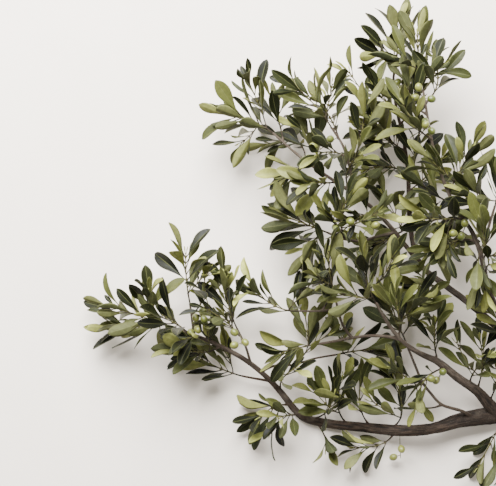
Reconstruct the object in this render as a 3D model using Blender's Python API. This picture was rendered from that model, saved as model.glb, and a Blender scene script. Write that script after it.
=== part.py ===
"""An olive branch with fruit, cut and laid down: a forked woody limb, leafy shoots and green olives.

Metres, +Z up. The branch lies on z = 0 and is seen from above: +X points from its tips to its cut butt end
and +Y to its crown. The origin is the middle of the flat resting spot under the butt.
"""

import math
import random

import bpy
import numpy as np
from mathutils import Matrix, Vector
from mathutils.bvhtree import BVHTree

CM, MM = 0.01, 0.001
SEED = 11
UP = Vector((0, 0, 1))
LIGHT_SIDE = Vector((-0.15, 0.5, 0.85))  # where most leaves turn their upper side

SHARP_ANGLE = math.radians(50)

JOINT_GAP = 0.3 * MM  # between a shoot or a fruit stalk and the wood that carries it
CLEARANCE = 0.45 * MM  # added round every leaf while its place is tested
FLOOR_CLEARANCE = 1.0 * MM
LOWEST_TIP = 14 * MM

RING_SPACING = 60 * MM
HEEL_LENGTH, HEEL_RADIUS, HEEL_SIDES = 7 * MM, 1.9 * MM, 4  # the woody heel that carries a shoot
HEEL_TAPER = 0.85
HEEL_ANGLE, FRUIT_ANGLE = math.radians(50), math.radians(88)

STEM_HALF, SIDE_STEM_HALF = 1.3 * MM, 1.05 * MM  # half the width of a shoot's square stem
STEM_TAPER = 0.4
NODE_LENGTH = 2.4 * MM  # the stretch of a shoot that carries one pair of leaves
SHOOT_KNEE = 0.42  # how far a shoot keeps its first direction, as a share of its reach
SHOOT_BOW = 0.05
SEAT_TURN = 0.6  # how far the first pair may stand turned from level, in radians
SIDE_PULL = 0.9  # how strongly a side shoot starts towards its tip, against straight out of the stem
SHOOT_CROWDING = 0.5  # how much closer together the pairs are at the tip
FIRST_GAP, LAST_GAP = 0.8, 0.25  # below the first pair and above the last, in gaps between pairs
CLEAR_START = 0.08  # share of a shoot, next to what it grows from, that isn't tested
SHOOT_TRIES, LEAF_TRIES = 40, 48
TRIES_TO_STRAY = 12  # after so many tries a shoot or a leaf strays by one usual step more
MOST_STRAY = 2.0

# Leaf: the shares of its length where its sections stand, each with its width there as a share of the
# widest. The first and the last pair on a shoot are pointed.
FULL_SECTIONS = ((0.46, 0.82), (0.8, 0.96))
POINTED_SECTIONS = ((0.6, 1.0),)
STALK_SHARE = 0.12  # the narrow end of a leaf, tested on its own
LEAF_WIDTH_SHARE = 0.3
BLADE_HALF_THICK = 0.55 * MM
FACING_SHARE = 0.76  # of the leaves that turn their upper side to the light
FACING_PULL = (0.3, 1.0)  # how far they turn there from their natural side
FACING_SPREAD = 0.22

# Angles in degrees. A leaf leans off its stem by the first lean at the stem's start and the last at its end.
FIRST_LEAN, LAST_LEAN = 52, 24
LEAN_SPREAD, LEAN_STRAY = 6, 13
ROLL_SPREAD, ROLL_STRAY = 8, 22
BEND_RANGE, FOLD_RANGE, TWIST_SPREAD = (6, 38), (8, 24), 16
BEND_SIDES = (-1, -1, 1)

# Leaf length against its shoot's usual one: at the shoot's ends, what its middle adds, and the chance part.
END_LENGTH, MIDDLE_LENGTH, LENGTH_RANGE = 0.74, 0.34, (0.86, 1.12)
WIDTH_RANGE = (0.85, 1.15)
CROWDED_LOSS = 0.25  # the share of its length that a leaf gives up in the end where it finds no room

OLIVE_LENGTH, OLIVE_WIDTH = 14.0 * MM, 12.0 * MM
FRUIT_SHOULDER = 0.24  # from its middle to where an olive starts to narrow, as a share of its length
FRUIT_SEATS = ((1, 1), (0, 0), (0, 2), (1, 3))  # on its cluster's stalk, the ones taken first
FRUIT_STALK = 5 * MM
STALK_HALF = 0.85 * MM  # half the width of a fruit stalk
FRUIT_AHEAD = 0.4  # how far an olive turns along its cluster's stalk
FRUIT_SPREAD, TRIES_TO_SPREAD = 0.3, 30

BARK = ("bark", (0.19, 0.135, 0.105), 0.85)
LEAF = ("leaf", (0.16, 0.21, 0.085), 0.5)
OLIVE_SKIN = ("olive_skin", (0.36, 0.42, 0.12), 0.35)

# Limbs: the number of sides, then points along the axis as x, y, z in cm and the radius there in mm.
LIMBS = {
    "trunk": (10, [
        (7.0, -0.2, 1.30, 14.6), (3.5, -0.1, 1.28, 14.2), (0.0, 0.0, 1.28, 14.0), (-5.0, -0.2, 1.34, 14.2),
        (-9.9, -0.7, 2.0, 13.6), (-13.8, -1.3, 2.6, 11.4), (-17.0, -2.3, 3.0, 9.2), (-20.2, -2.8, 3.0, 9.0),
        (-24.2, -2.8, 2.6, 8.6), (-29.8, -2.4, 1.3, 7.6), (-34.6, -1.9, 0.64, 7.0), (-37.8, -1.1, 0.95, 6.6),
        (-39.6, 0.4, 1.6, 5.8), (-41.8, 3.2, 2.4, 4.8), (-44.2, 5.8, 3.3, 4.3), (-47.4, 8.4, 4.3, 4.0),
        (-50.9, 10.4, 5.1, 3.5), (-54.4, 12.0, 5.7, 3.0), (-58.0, 13.3, 6.1, 2.4)]),
    "fork": (8, [
        (-7.4, -0.4, 1.9, 9.0), (-8.9, 1.3, 3.0, 8.6), (-10.9, 3.5, 4.4, 7.6), (-14.2, 5.8, 6.2, 6.8),
        (-17.3, 8.3, 7.8, 5.6), (-19.6, 9.4, 8.9, 4.6), (-21.6, 10.5, 9.8, 3.8), (-23.8, 12.3, 10.6, 3.3),
        (-25.8, 15.0, 11.4, 2.8), (-27.4, 17.7, 12.0, 2.3)]),
    "arc": (5, [
        (-11.2, -0.9, 2.6, 3.2), (-13.4, 0.4, 4.4, 2.8), (-16.6, 1.5, 5.9, 2.4), (-18.4, 3.3, 6.5, 2.3),
        (-19.8, 5.2, 6.7, 2.2), (-21.0, 8.0, 6.6, 2.1), (-22.4, 11.6, 6.3, 1.9)]),
    "beam": (8, [
        (2.4, -0.1, 1.6, 7.6), (1.2, 2.6, 3.2, 7.2), (-1.6, 7.0, 4.8, 6.8), (-5.0, 11.0, 5.8, 6.3),
        (-8.0, 13.7, 6.3, 6.0), (-12.0, 17.1, 6.2, 5.5), (-16.0, 20.2, 5.4, 5.0), (-18.6, 22.2, 4.4, 4.6),
        (-20.3, 24.4, 3.0, 4.3), (-21.0, 28.2, 1.3, 4.0), (-21.3, 33.0, 0.34, 3.8), (-21.5, 38.0, 0.9, 3.3),
        (-22.3, 43.0, 2.3, 2.9), (-23.6, 48.2, 4.0, 2.5), (-24.2, 52.3, 5.4, 2.2), (-23.8, 55.4, 6.2, 1.9)]),
    "mast": (5, [
        (-6.4, 12.4, 6.0, 5.0), (-8.0, 16.0, 7.6, 4.7), (-9.8, 20.0, 9.4, 4.4), (-11.2, 25.2, 11.2, 4.0),
        (-12.8, 28.8, 12.4, 3.6), (-15.0, 31.8, 13.3, 3.2), (-16.9, 35.6, 13.9, 2.7),
        (-18.5, 40.2, 14.0, 2.4), (-19.4, 45.0, 13.6, 2.1), (-20.2, 50.2, 12.8, 1.9)]),
    "mast_side": (5, [
        (-11.2, 25.0, 11.2, 2.8), (-10.2, 29.0, 12.3, 2.4), (-9.2, 32.6, 12.8, 2.0)]),
    "bough": (5, [
        (-20.0, 23.8, 3.4, 4.0), (-21.8, 25.9, 4.9, 3.8), (-24.3, 28.9, 6.4, 3.5), (-27.4, 32.1, 7.8, 3.2),
        (-30.9, 34.7, 8.8, 2.9), (-35.6, 37.8, 9.3, 2.5), (-38.9, 40.2, 9.2, 2.2), (-43.2, 44.0, 8.8, 1.8)]),
    "bough_rise": (5, [
        (-30.7, 34.5, 8.8, 2.5), (-31.3, 38.4, 10.3, 2.3), (-32.4, 41.8, 11.2, 2.0),
        (-34.2, 44.6, 11.7, 1.8)]),
    "inner": (5, [
        (-24.0, 28.5, 6.2, 2.6), (-26.8, 27.9, 7.9, 2.4), (-29.8, 27.2, 9.4, 2.2), (-32.6, 27.6, 10.2, 2.0),
        (-34.8, 28.5, 10.6, 1.8)]),
    "shelf": (5, [
        (-23.6, 12.1, 10.5, 2.8), (-26.8, 12.5, 9.3, 2.6), (-30.3, 12.2, 8.2, 2.4), (-33.8, 11.5, 7.3, 2.1),
        (-36.6, 11.0, 6.8, 1.8)]),
    "heart": (5, [
        (-30.9, 12.1, 8.0, 2.3), (-32.4, 14.3, 9.3, 2.1), (-33.2, 16.9, 10.2, 2.0),
        (-33.8, 19.5, 10.7, 1.8)]),
    "reach": (5, [
        (-33.1, 16.6, 10.1, 2.0), (-36.4, 16.3, 8.9, 1.8), (-39.2, 16.3, 8.0, 1.7)]),
    "low_reach": (5, [
        (-43.4, 5.0, 3.0, 2.2), (-46.0, 5.4, 2.6, 2.0), (-48.1, 5.8, 2.5, 1.7)]),
    "left_rise": (5, [
        (-55.5, 12.4, 5.8, 2.1), (-55.8, 14.9, 6.9, 2.0), (-56.1, 17.5, 7.5, 1.7)]),
    "left_lift": (5, [
        (-46.6, 7.8, 4.1, 2.2), (-47.4, 10.6, 5.8, 2.0), (-48.8, 13.6, 7.0, 1.7)]),
    "under_arch": (5, [
        (-45.0, 6.5, 3.6, 2.2), (-42.6, 7.6, 4.6, 1.9), (-40.0, 7.7, 4.9, 1.8), (-36.6, 8.7, 5.1, 1.7),
        (-33.2, 9.3, 5.0, 1.6)]),
}

# Sprays: the limb, the point on it (x, y in cm, or None for its end), then for each shoot its tip (x, y, z in
# cm), its pairs of leaves and their length in mm. The first shoot starts on the limb, each other one in the
# place of a leaf of the first, one pair further up each time.
SPRAYS = {
    "left_tip": ("trunk", None, [
        (-69.4, 17.0, 5.2, 5, 66), (-68.6, 13.4, 3.2, 5, 66), (-62.6, 18.8, 8.8, 4, 64)]),
    "left_mid": ("trunk", (-56.4, 12.8), [(-61.4, 15.8, 9.4, 4, 64)]),
    "left_rise": ("left_rise", None, [(-56.7, 25.2, 9.0, 4, 70), (-53.2, 22.4, 10.2, 2, 58)]),
    "left_lift": ("left_lift", None, [(-50.8, 21.4, 9.4, 5, 64), (-53.6, 17.0, 10.4, 2, 58)]),
    "left_reach": ("reach", None, [(-46.6, 20.0, 8.8, 4, 62), (-37.2, 20.8, 11.0, 3, 60)]),
    "low_reach": ("low_reach", None, [(-56.0, 9.2, 2.8, 5, 62), (-52.6, 12.2, 3.2, 3, 56)]),
    "low_left": ("trunk", (-51.4, 10.6), [(-57.6, 10.6, 7.2, 4, 64), (-54.2, 15.4, 9.4, 3, 58)]),
    "knee_low": ("trunk", (-40.2, 1.2), [(-45.0, -0.6, 3.2, 4, 62), (-43.6, -3.0, 3.4, 2, 58)]),
    "far_end": ("bough", None, [
        (-49.8, 46.8, 8.6, 5, 72), (-47.0, 52.0, 9.6, 3, 66), (-48.0, 42.6, 7.0, 2, 62)]),
    "far_under": ("bough", (-37.2, 38.9), [(-41.2, 36.8, 8.2, 3, 64)]),
    "far_rise": ("bough", (-35.8, 37.9), [(-38.4, 45.0, 7.2, 4, 62)]),
    "crest": ("bough_rise", None, [(-40.4, 51.4, 12.8, 4, 64), (-34.0, 51.4, 9.8, 4, 60)]),
    "crest_in": ("bough_rise", (-31.2, 38.7), [(-29.2, 48.2, 12.4, 4, 64)]),
    "crest_low": ("bough_rise", (-31.9, 40.2), [(-36.0, 40.6, 13.8, 4, 62)]),
    "bough_low": ("bough", (-33.3, 36.3), [(-37.2, 36.2, 12.6, 5, 64)]),
    "rosette": ("inner", None, [(-40.2, 30.6, 11.0, 5, 74), (-37.8, 25.8, 9.4, 3, 64)]),
    "rosette_up": ("inner", (-31.8, 27.4), [(-31.6, 34.0, 13.2, 4, 62), (-27.2, 31.6, 14.2, 2, 62)]),
    "heart": ("heart", None, [(-34.7, 25.6, 12.4, 4, 64), (-36.4, 21.8, 13.0, 3, 60)]),
    "shelf_end": ("shelf", None, [(-41.8, 9.7, 6.6, 4, 60), (-38.0, 15.0, 5.4, 3, 62)]),
    "under_arch": ("under_arch", None, [(-26.2, 10.2, 4.2, 5, 60), (-32.4, 13.4, 3.8, 2, 58)]),
    "arch_up": ("under_arch", (-39.0, 8.0), [(-34.6, 12.2, 7.0, 3, 58)]),
    "low_two": ("trunk", (-31.0, -2.2), [(-32.2, 6.0, 5.0, 4, 62), (-36.8, 3.8, 5.2, 3, 58)]),
    "low_three": ("trunk", (-27.4, -2.6), [(-28.8, 6.2, 2.6, 4, 62), (-32.4, 2.6, 4.4, 2, 58)]),
    "low_four": ("trunk", (-24.4, -2.7), [(-24.0, 5.2, 5.0, 4, 60), (-27.6, 2.0, 5.6, 2, 58)]),
    "under_two": ("trunk", (-23.4, -2.8), [(-30.0, -5.6, 2.6, 4, 58)]),
    "arc_end": ("arc", None, [(-25.2, 17.4, 5.6, 5, 62), (-20.4, 16.2, 5.2, 3, 58)]),
    "arc_side": ("arc", (-19.7, 5.2), [(-24.4, 7.4, 8.6, 4, 58), (-20.4, 1.6, 8.4, 2, 54)]),
    "spine": ("fork", None, [
        (-29.2, 24.4, 13.6, 5, 64), (-33.0, 19.2, 15.2, 3, 64), (-25.0, 25.0, 15.8, 3, 62)]),
    "spine_right": ("fork", (-23.7, 12.3), [(-20.0, 18.6, 13.4, 5, 62), (-24.6, 19.4, 15.4, 3, 60)]),
    "fork_up": ("fork", (-17.6, 8.5), [(-18.2, 14.6, 11.4, 5, 58)]),
    "fork_right": ("fork", (-10.9, 3.5), [(-10.8, 11.6, 7.4, 5, 58), (-14.6, 11.4, 8.2, 2, 56)]),
    "beam_right": ("beam", (-4.4, 10.3), [(-10.4, 17.4, 9.6, 4, 62)]),
    "mid_right": ("beam", (-20.8, 26.7), [(-14.6, 27.6, 6.6, 5, 66), (-17.6, 31.8, 7.0, 2, 62)]),
    "mid_left": ("beam", (-21.1, 29.9), [(-28.0, 26.4, 3.6, 5, 66), (-25.8, 34.6, 5.2, 3, 62)]),
    "high_right": ("beam", (-21.4, 35.0), [(-16.4, 40.2, 5.0, 4, 62), (-20.0, 44.6, 6.4, 3, 60)]),
    "high_left": ("beam", (-21.6, 37.4), [(-28.4, 38.4, 4.8, 5, 62)]),
    "upper_left": ("beam", (-22.0, 41.0), [(-27.4, 46.2, 6.0, 5, 60)]),
    "upper_twin": ("beam", (-23.0, 45.6), [(-20.4, 51.4, 7.6, 5, 62), (-27.6, 51.4, 7.2, 3, 62)]),
    "top_end": ("beam", None, [(-23.8, 60.6, 7.6, 5, 66), (-25.8, 56.4, 8.4, 3, 60)]),
    "spire_end": ("mast", None, [
        (-21.0, 59.0, 11.8, 5, 66), (-17.4, 54.0, 13.4, 3, 58), (-23.8, 55.6, 13.6, 3, 60)]),
    "mast_high": ("mast", (-18.7, 42.6), [(-23.4, 47.8, 15.8, 5, 64)]),
    "crown_right": ("mast", (-16.4, 34.6), [(-13.2, 41.0, 15.4, 5, 64), (-19.8, 39.8, 17.2, 3, 60)]),
    "crown_left": ("mast", (-14.0, 30.6), [(-20.0, 30.6, 16.6, 5, 64), (-17.2, 25.4, 15.8, 2, 62)]),
    "crown_low": ("mast", (-12.0, 27.2), [(-19.4, 25.2, 13.8, 5, 62)]),
    "edge_top": ("mast_side", None, [(-8.6, 36.2, 13.4, 4, 62), (-13.6, 34.4, 14.0, 4, 62)]),
    "edge_mid": ("mast", (-10.8, 24.0), [
        (-11.6, 30.0, 15.4, 4, 66), (-7.6, 25.4, 13.0, 4, 64), (-10.6, 19.4, 13.2, 3, 60)]),
    "butt_shoot": ("trunk", (-5.6, -0.2), [(-10.6, -8.8, 2.8, 4, 58), (-7.0, -9.6, 3.0, 3, 56)]),
}

# Olive clusters: the limb, the point on it (x, y in cm), where the cluster hangs (x, y, z in cm) and how many
# olives it has.
OLIVE_CLUSTERS = [
    ("left_rise", (-55.9, 16.4), (-55.0, 18.2, 9.6), 3),
    ("left_lift", (-48.4, 12.8), (-50.2, 16.4, 9.4), 3),
    ("trunk", (-56.2, 12.7), (-56.6, 14.6, 8.4), 3),
    ("inner", (-33.8, 28.1), (-35.0, 31.4, 13.6), 3),
    ("inner", (-29.8, 27.2), (-30.7, 29.4, 13.8), 2),
    ("beam", (-23.9, 53.6), (-22.8, 55.2, 10.0), 3),
    ("mast", (-18.9, 44.4), (-20.4, 43.4, 16.4), 3),
    ("mast", (-18.8, 48.8), (-21.2, 52.2, 15.6), 3),
    ("trunk", (-23.0, -2.8), (-22.4, -6.4, 2.4), 2),
    ("fork", (-16.6, 7.7), (-18.4, 7.0, 9.6), 3),
    ("mast", (-13.6, 29.8), (-14.9, 28.2, 15.8), 3),
    ("bough_rise", (-33.2, 43.2), (-36.8, 44.0, 13.6), 2),
]


def material(name, colour, roughness):
    """The Principled material of that name, made once."""
    made = bpy.data.materials.get(name)
    if made is None:
        made = bpy.data.materials.new(name)
        made.use_nodes = True
        shader = made.node_tree.nodes["Principled BSDF"]
        shader.inputs["Base Color"].default_value = (*colour, 1.0)
        shader.inputs["Roughness"].default_value = roughness
        shader.inputs["Metallic"].default_value = 0.0
    return made


class Body:
    """Points and faces of one closed mesh, grown loop by loop. Loops run anticlockwise seen from ahead."""

    def __init__(self):
        self.points, self.faces = [], []

    def add(self, points):
        first = len(self.points)
        self.points += [Vector(p) for p in points]
        return list(range(first, first + len(points)))

    def cap_start(self, loop):
        self.faces.append(tuple(loop[::-1]))

    def cap_end(self, loop):
        self.faces.append(tuple(loop))

    def point_end(self, loop, point):
        tip = self.add([point])[0]
        self.faces += [(loop[i], loop[(i + 1) % len(loop)], tip) for i in range(len(loop))]

    def bridge(self, near, far):
        """Sides between two loops, one for each edge. Returns the number of the first."""
        first = len(self.faces)
        n = len(near)
        self.faces += [(near[i], near[(i + 1) % n], far[(i + 1) % n], far[i]) for i in range(n)]
        return first

    def bridge_out(self, near, far):
        """Sides between two loops that may be turned against each other, split so that none caves in."""
        n = len(near)
        for i in range(n):
            a, b, c, d = near[i], near[(i + 1) % n], far[(i + 1) % n], far[i]
            pa, pb, pc, pd = (self.points[k] for k in (a, b, c, d))
            if (pd - pa).dot((pb - pa).cross(pc - pa)) <= 0:
                self.faces += [(a, b, c), (a, c, d)]
            else:
                self.faces += [(a, b, d), (b, c, d)]

    def bridge_blade(self, near, far):
        """Sides between two sections of a blade, split alike on both faces, from the margin to the midrib."""
        for i in range(4):
            j = (i + 1) % 4
            if i % 2 == 0:
                self.faces += [(near[i], near[j], far[j]), (near[i], far[j], far[i])]
            else:
                self.faces += [(near[i], near[j], far[i]), (near[j], far[j], far[i])]

    def bridge_doubling(self, near, far):
        """Sides from a loop to one with twice its corners, whose even ones stand over the loop's own."""
        for i, start in enumerate(near):
            j = (i + 1) % len(near)
            middle = far[2 * i + 1]
            self.faces.append((start, near[j], middle))
            self.faces.append((start, middle, far[2 * i]))
            self.faces.append((near[j], far[2 * j], middle))

    def open_face(self, number):
        """Takes a face away and returns its loop, for something to grow out of it."""
        loop = list(self.faces[number])
        self.faces[number] = None
        return loop

    def solid_faces(self):
        return [face for face in self.faces if face is not None]

    def crosses_itself(self):
        """Whether two faces that share no corner cross."""
        faces = self.solid_faces()
        tree = BVHTree.FromPolygons(self.points, faces)
        return any(not set(faces[a]) & set(faces[b]) for a, b in tree.overlap(tree))

    def object(self, name, look):
        mesh = bpy.data.meshes.new(name)
        mesh.from_pydata(self.points, [], self.solid_faces())
        mesh.shade_smooth()
        mesh.set_sharp_from_angle(angle=SHARP_ANGLE)
        mesh.materials.append(material(*look))
        made = bpy.data.objects.new(name, mesh)
        bpy.context.scene.collection.objects.link(made)
        return made


def united(name, bodies, look):
    """One object from bodies that overlap."""
    first, *others = [body.object(f"{name}.{k}", look) for k, body in enumerate(bodies)]
    first.name = name
    if others:
        group = bpy.data.collections.new(name)
        for other in others:
            group.objects.link(other)
        union = first.modifiers.new("union", "BOOLEAN")
        union.operation, union.solver = "UNION", "EXACT"
        union.operand_type, union.collection = "COLLECTION", group
        evaluated = first.evaluated_get(bpy.context.evaluated_depsgraph_get())
        joined = bpy.data.meshes.new_from_object(evaluated)
        first.modifiers.clear()
        first.data = joined
        for other in others:
            bpy.data.objects.remove(other)
        bpy.data.collections.remove(group)
    first.data.name = name
    return first


def across(direction):
    """Two unit vectors across a direction: u lies level, and u, v and the direction are right-handed."""
    u = UP.cross(direction)
    u = Vector((1, 0, 0)) if u.length < 1e-4 else u.normalized()
    return u, direction.cross(u).normalized()


def ring(centre, direction, radius, sides):
    """A round section with a flat facet below, anticlockwise seen from ahead."""
    u, v = across(direction)
    angles = [(k + 0.5) * 2 * math.pi / sides - math.pi / 2 for k in range(sides)]
    return [centre + radius * (u * math.cos(a) + v * math.sin(a)) for a in angles]


def tube(path, sides):
    """A closed tube along (point, radius) rows. What would reach under the floor is laid flat on it."""
    points = [point for point, _ in path]
    body = Body()
    loops = []
    for k, (point, radius) in enumerate(path):
        direction = (points[min(k + 1, len(path) - 1)] - points[max(k - 1, 0)]).normalized()
        loops.append(body.add([(p.x, p.y, max(p.z, 0.0)) for p in ring(point, direction, radius, sides)]))
    body.cap_start(loops[0])
    for near, far in zip(loops, loops[1:]):
        body.bridge(near, far)
    body.cap_end(loops[-1])
    return body


def smooth_path(rows):
    """Points along a smooth curve through (point, radius) rows, with at most RING_SPACING between them."""
    ends = [rows[0]] + rows + [rows[-1]]
    out = []
    for i in range(len(rows) - 1):
        p0, p1, p2, p3 = (Vector((*ends[i + k][0], ends[i + k][1])) for k in range(4))
        steps = math.ceil((p2.xyz - p1.xyz).length / RING_SPACING)
        for t in (s / steps for s in range(steps)):
            out.append(0.5 * (2 * p1 + (p2 - p0) * t + (2 * p0 - 5 * p1 + 4 * p2 - p3) * t * t
                              + (3 * p1 - 3 * p2 + p3 - p0) * t * t * t))
    out.append(Vector((*rows[-1][0], rows[-1][1])))
    return [(p.xyz, p.w) for p in out]


def limb_path(name):
    return smooth_path([(Vector((x, y, z)) * CM, r * MM) for x, y, z, r in LIMBS[name][1]])


def place_on(path, x, y):
    """The point of a path that is nearest to x, y from above, with the radius and the direction there."""
    spot = Vector((x, y))
    found = []
    for (a, ra), (b, rb) in zip(path, path[1:]):
        run = (b - a).xy
        t = max(0.0, min(1.0, (spot - a.xy).dot(run) / run.length_squared))
        point = a.lerp(b, t)
        found.append(((point.xy - spot).length, point, ra + (rb - ra) * t, (b - a).normalized()))
    return min(found, key=lambda row: row[0])[1:]


def leaning_off(direction, towards, angle):
    """A unit vector at an angle off a limb's direction, on the side of towards."""
    across_it = towards - direction * towards.dot(direction)
    across_it = UP.copy() if across_it.length < 1e-6 else across_it.normalized()
    along = direction if towards.dot(direction) > 0 else -direction
    return along * math.cos(angle) + across_it * math.sin(angle)


def turned_to(points, targets):
    """How many corners the targets are turned round by to lie nearest to a loop's points."""
    def apart(shift):
        return sum((points[i] - targets[(i + shift) % 4]).length_squared for i in range(4))
    return min(range(4), key=apart)


class Shoot:
    """One leafy shoot: a stem on a smooth bow, with pairs of leaves that stand crosswise in turn."""

    def __init__(self, name, base, start, tip, pairs, leaf_length, radius, rng):
        self.name, self.pairs, self.leaf_length, self.radius = name, pairs, leaf_length, radius
        reach = (tip - base).length
        bow = Vector([rng.uniform(-1, 1) for _ in range(3)]) * reach * SHOOT_BOW
        self.curve = (base, base + start * reach * SHOOT_KNEE + bow, tip)
        across_start, _ = across(start)
        self.side = Matrix.Rotation(rng.uniform(-SEAT_TURN, SEAT_TURN), 3, start) @ across_start
        gaps = [1.0 - SHOOT_CROWDING * k / pairs for k in range(pairs)]
        whole = FIRST_GAP + sum(gaps[:-1]) + LAST_GAP
        self.marks = [(FIRST_GAP + sum(gaps[:k])) / whole for k in range(pairs)]

    def at(self, t):
        """Point, direction, two vectors across it and the stem's half width."""
        a, m, b = self.curve
        point = a * (1 - t) ** 2 + m * (2 * t * (1 - t)) + b * t * t
        ahead = ((m - a) * (1 - t) + (b - m) * t).normalized()
        u = (self.side - ahead * self.side.dot(ahead)).normalized()
        return point, ahead, u, ahead.cross(u), self.radius * (1 - STEM_TAPER * t)

    def corners(self, t):
        point, _, u, w, half = self.at(t)
        return [point + half * (u * a + w * b) for a, b in ((1, 1), (-1, 1), (-1, -1), (1, -1))]

    def outward(self, pair, side):
        """Out of one of the stem's four sides, numbered from the one between its first two corners."""
        _, _, u, w, _ = self.at(self.marks[pair])
        return (w, -u, -w, u)[side]

    def seat_corners(self, pair, side):
        """The corners of the face that a leaf grows from, anticlockwise seen from outside."""
        half = NODE_LENGTH / 2 / self.length()
        near, far = (self.corners(self.marks[pair] + step) for step in (-half, half))
        k = (side + 1) % 4
        return [near[side], near[k], far[k], far[side]]

    def seats(self):
        """The pair and side of every leaf."""
        return [(pair, side) for pair in range(self.pairs) for side in ((0, 2) if pair % 2 == 0 else (1, 3))]

    def length(self):
        points = [self.at(k / 10)[0] for k in range(11)]
        return sum((b - a).length for a, b in zip(points, points[1:]))

    def plain_body(self, start=0.0):
        """The stem as a plain tube, to test what would cross it."""
        body = Body()
        loops = [body.add(self.corners(start + (1 - start) * k / 6)) for k in range(7)]
        body.cap_start(loops[0])
        for near, far in zip(loops, loops[1:]):
            body.bridge(near, far)
        body.cap_end(loops[-1])
        return body


class Leaf:
    """Where one leaf stands: its root, the directions along it and out of its upper side, its size and form.

    The seat is the four corners on the stem that it grows from.
    """

    def __init__(self, root, seat, along, normal, length, width, bend, fold, twist, outline):
        self.root, self.seat, self.along, self.normal, self.outline = root, seat, along, normal, outline
        self.length, self.width, self.bend, self.fold, self.twist = length, width, bend, fold, twist

    def at(self, share):
        """Centre, direction, side and upper normal at a share of the length, on a round bend."""
        angle = self.bend * share
        radius = self.length / self.bend
        centre = self.root + radius * (self.along * math.sin(angle) + self.normal * (1 - math.cos(angle)))
        ahead = self.along * math.cos(angle) + self.normal * math.sin(angle)
        up = self.normal * math.cos(angle) - self.along * math.sin(angle)
        up = Matrix.Rotation(self.twist * share, 3, ahead) @ up
        return centre, ahead, up.cross(ahead), up

    def section(self, number, grown=0.0):
        """Four corners of a section: a margin, the top of the midrib, the other margin, the underside."""
        share, width = self.outline[number]
        half = self.width / 2 * width
        centre, _, side, up = self.at(share)
        margin = centre + up * (half * math.tan(self.fold))
        half, thick = half + grown, BLADE_HALF_THICK + grown
        return [margin + side * half, centre + up * thick, margin - side * half, centre - up * thick]

    def root_loop(self, share, grown=0.0):
        """The seat's corners in the order of the sections', carried along to a share of the length."""
        first = self.section(0)
        shift = turned_to(first, self.seat)
        middle = sum(self.seat, Vector()) / 4
        ways = [(p - middle).normalized() for p in self.seat]
        turned = [self.seat[(i + shift) % 4] + ways[(i + shift) % 4] * grown for i in range(4)]
        return [p.lerp(q, share / self.outline[0][0]) for p, q in zip(turned, self.section(0, grown))]

    def tip(self, grown=0.0):
        centre, ahead, _, _ = self.at(1.0)
        return centre + ahead * grown

    def test_bodies(self):
        """The blade and its narrow end as closed bodies, a little larger than they are."""
        blade = Body()
        loops = [blade.add(self.root_loop(STALK_SHARE, CLEARANCE))]
        loops += [blade.add(self.section(k, CLEARANCE)) for k in range(len(self.outline))]
        blade.cap_start(loops[0])
        blade.bridge_out(*loops[:2])
        for near, far in zip(loops[1:], loops[2:]):
            blade.bridge_blade(near, far)
        blade.point_end(loops[-1], self.tip(CLEARANCE))
        stalk = Body()
        near, far = (stalk.add(self.root_loop(share, CLEARANCE)) for share in (0.0, STALK_SHARE))
        stalk.cap_start(near)
        stalk.bridge_out(near, far)
        stalk.cap_end(far)
        return blade, stalk


class Fruit:
    """Where one olive hangs: the end of its stalk and the direction it points in."""

    def __init__(self, top, axis):
        self.top, self.axis = top, axis

    def round(self, along, half, sides, grown=0.0):
        """A section at a distance along the axis, its first corner half way between the cross vectors."""
        u, v = across(self.axis)
        angles = [math.pi / 4 + 2 * math.pi * i / sides for i in range(sides)]
        centre = self.top + self.axis * along
        return [centre + (u * math.cos(a) + v * math.sin(a)) * (half + grown) for a in angles]

    def grow(self, body, root_face=None, grown=0.0):
        """Adds the olive with its stalk out of a face of the body, or alone, a little larger, for a test."""
        collar = body.add(self.round(0.0, STALK_HALF, 4, grown))
        if root_face is None:
            body.cap_start(collar)
        else:
            root = body.open_face(root_face)
            shift = turned_to([body.points[i] for i in root], [body.points[i] for i in collar])
            body.bridge(root, [collar[(i + shift) % 4] for i in range(4)])
        shoulders = [OLIVE_LENGTH * (0.5 - FRUIT_SHOULDER), OLIVE_LENGTH * (0.5 + FRUIT_SHOULDER)]
        near, far = (body.add(self.round(along, OLIVE_WIDTH / 2, 8, grown)) for along in shoulders)
        body.bridge_doubling(collar, near)
        body.bridge(near, far)
        body.point_end(far, self.top + self.axis * (OLIVE_LENGTH + grown))


class Room:
    """What already stands in the branch, so that nothing new crosses it."""

    def __init__(self):
        self.low, self.high, self.trees, self.owners = [], [], [], []

    def put(self, body, owner):
        points = np.array([tuple(p) for p in body.points])
        self.low.append(points.min(axis=0))
        self.high.append(points.max(axis=0))
        self.trees.append(BVHTree.FromPolygons(body.points, body.solid_faces()))
        self.owners.append(owner)

    def clear(self, body, skip=()):
        """Whether a body stands above the floor and crosses nothing but what the owners to skip have put."""
        points = np.array([tuple(p) for p in body.points])
        low, high = points.min(axis=0), points.max(axis=0)
        if low[2] < FLOOR_CLEARANCE:
            return False
        near = np.all((np.array(self.low) <= high) & (np.array(self.high) >= low), axis=1)
        tree = BVHTree.FromPolygons(body.points, body.solid_faces())
        others = [self.trees[i] for i in np.flatnonzero(near) if self.owners[i] not in skip]
        return not any(other.overlap(tree) for other in others)


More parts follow.
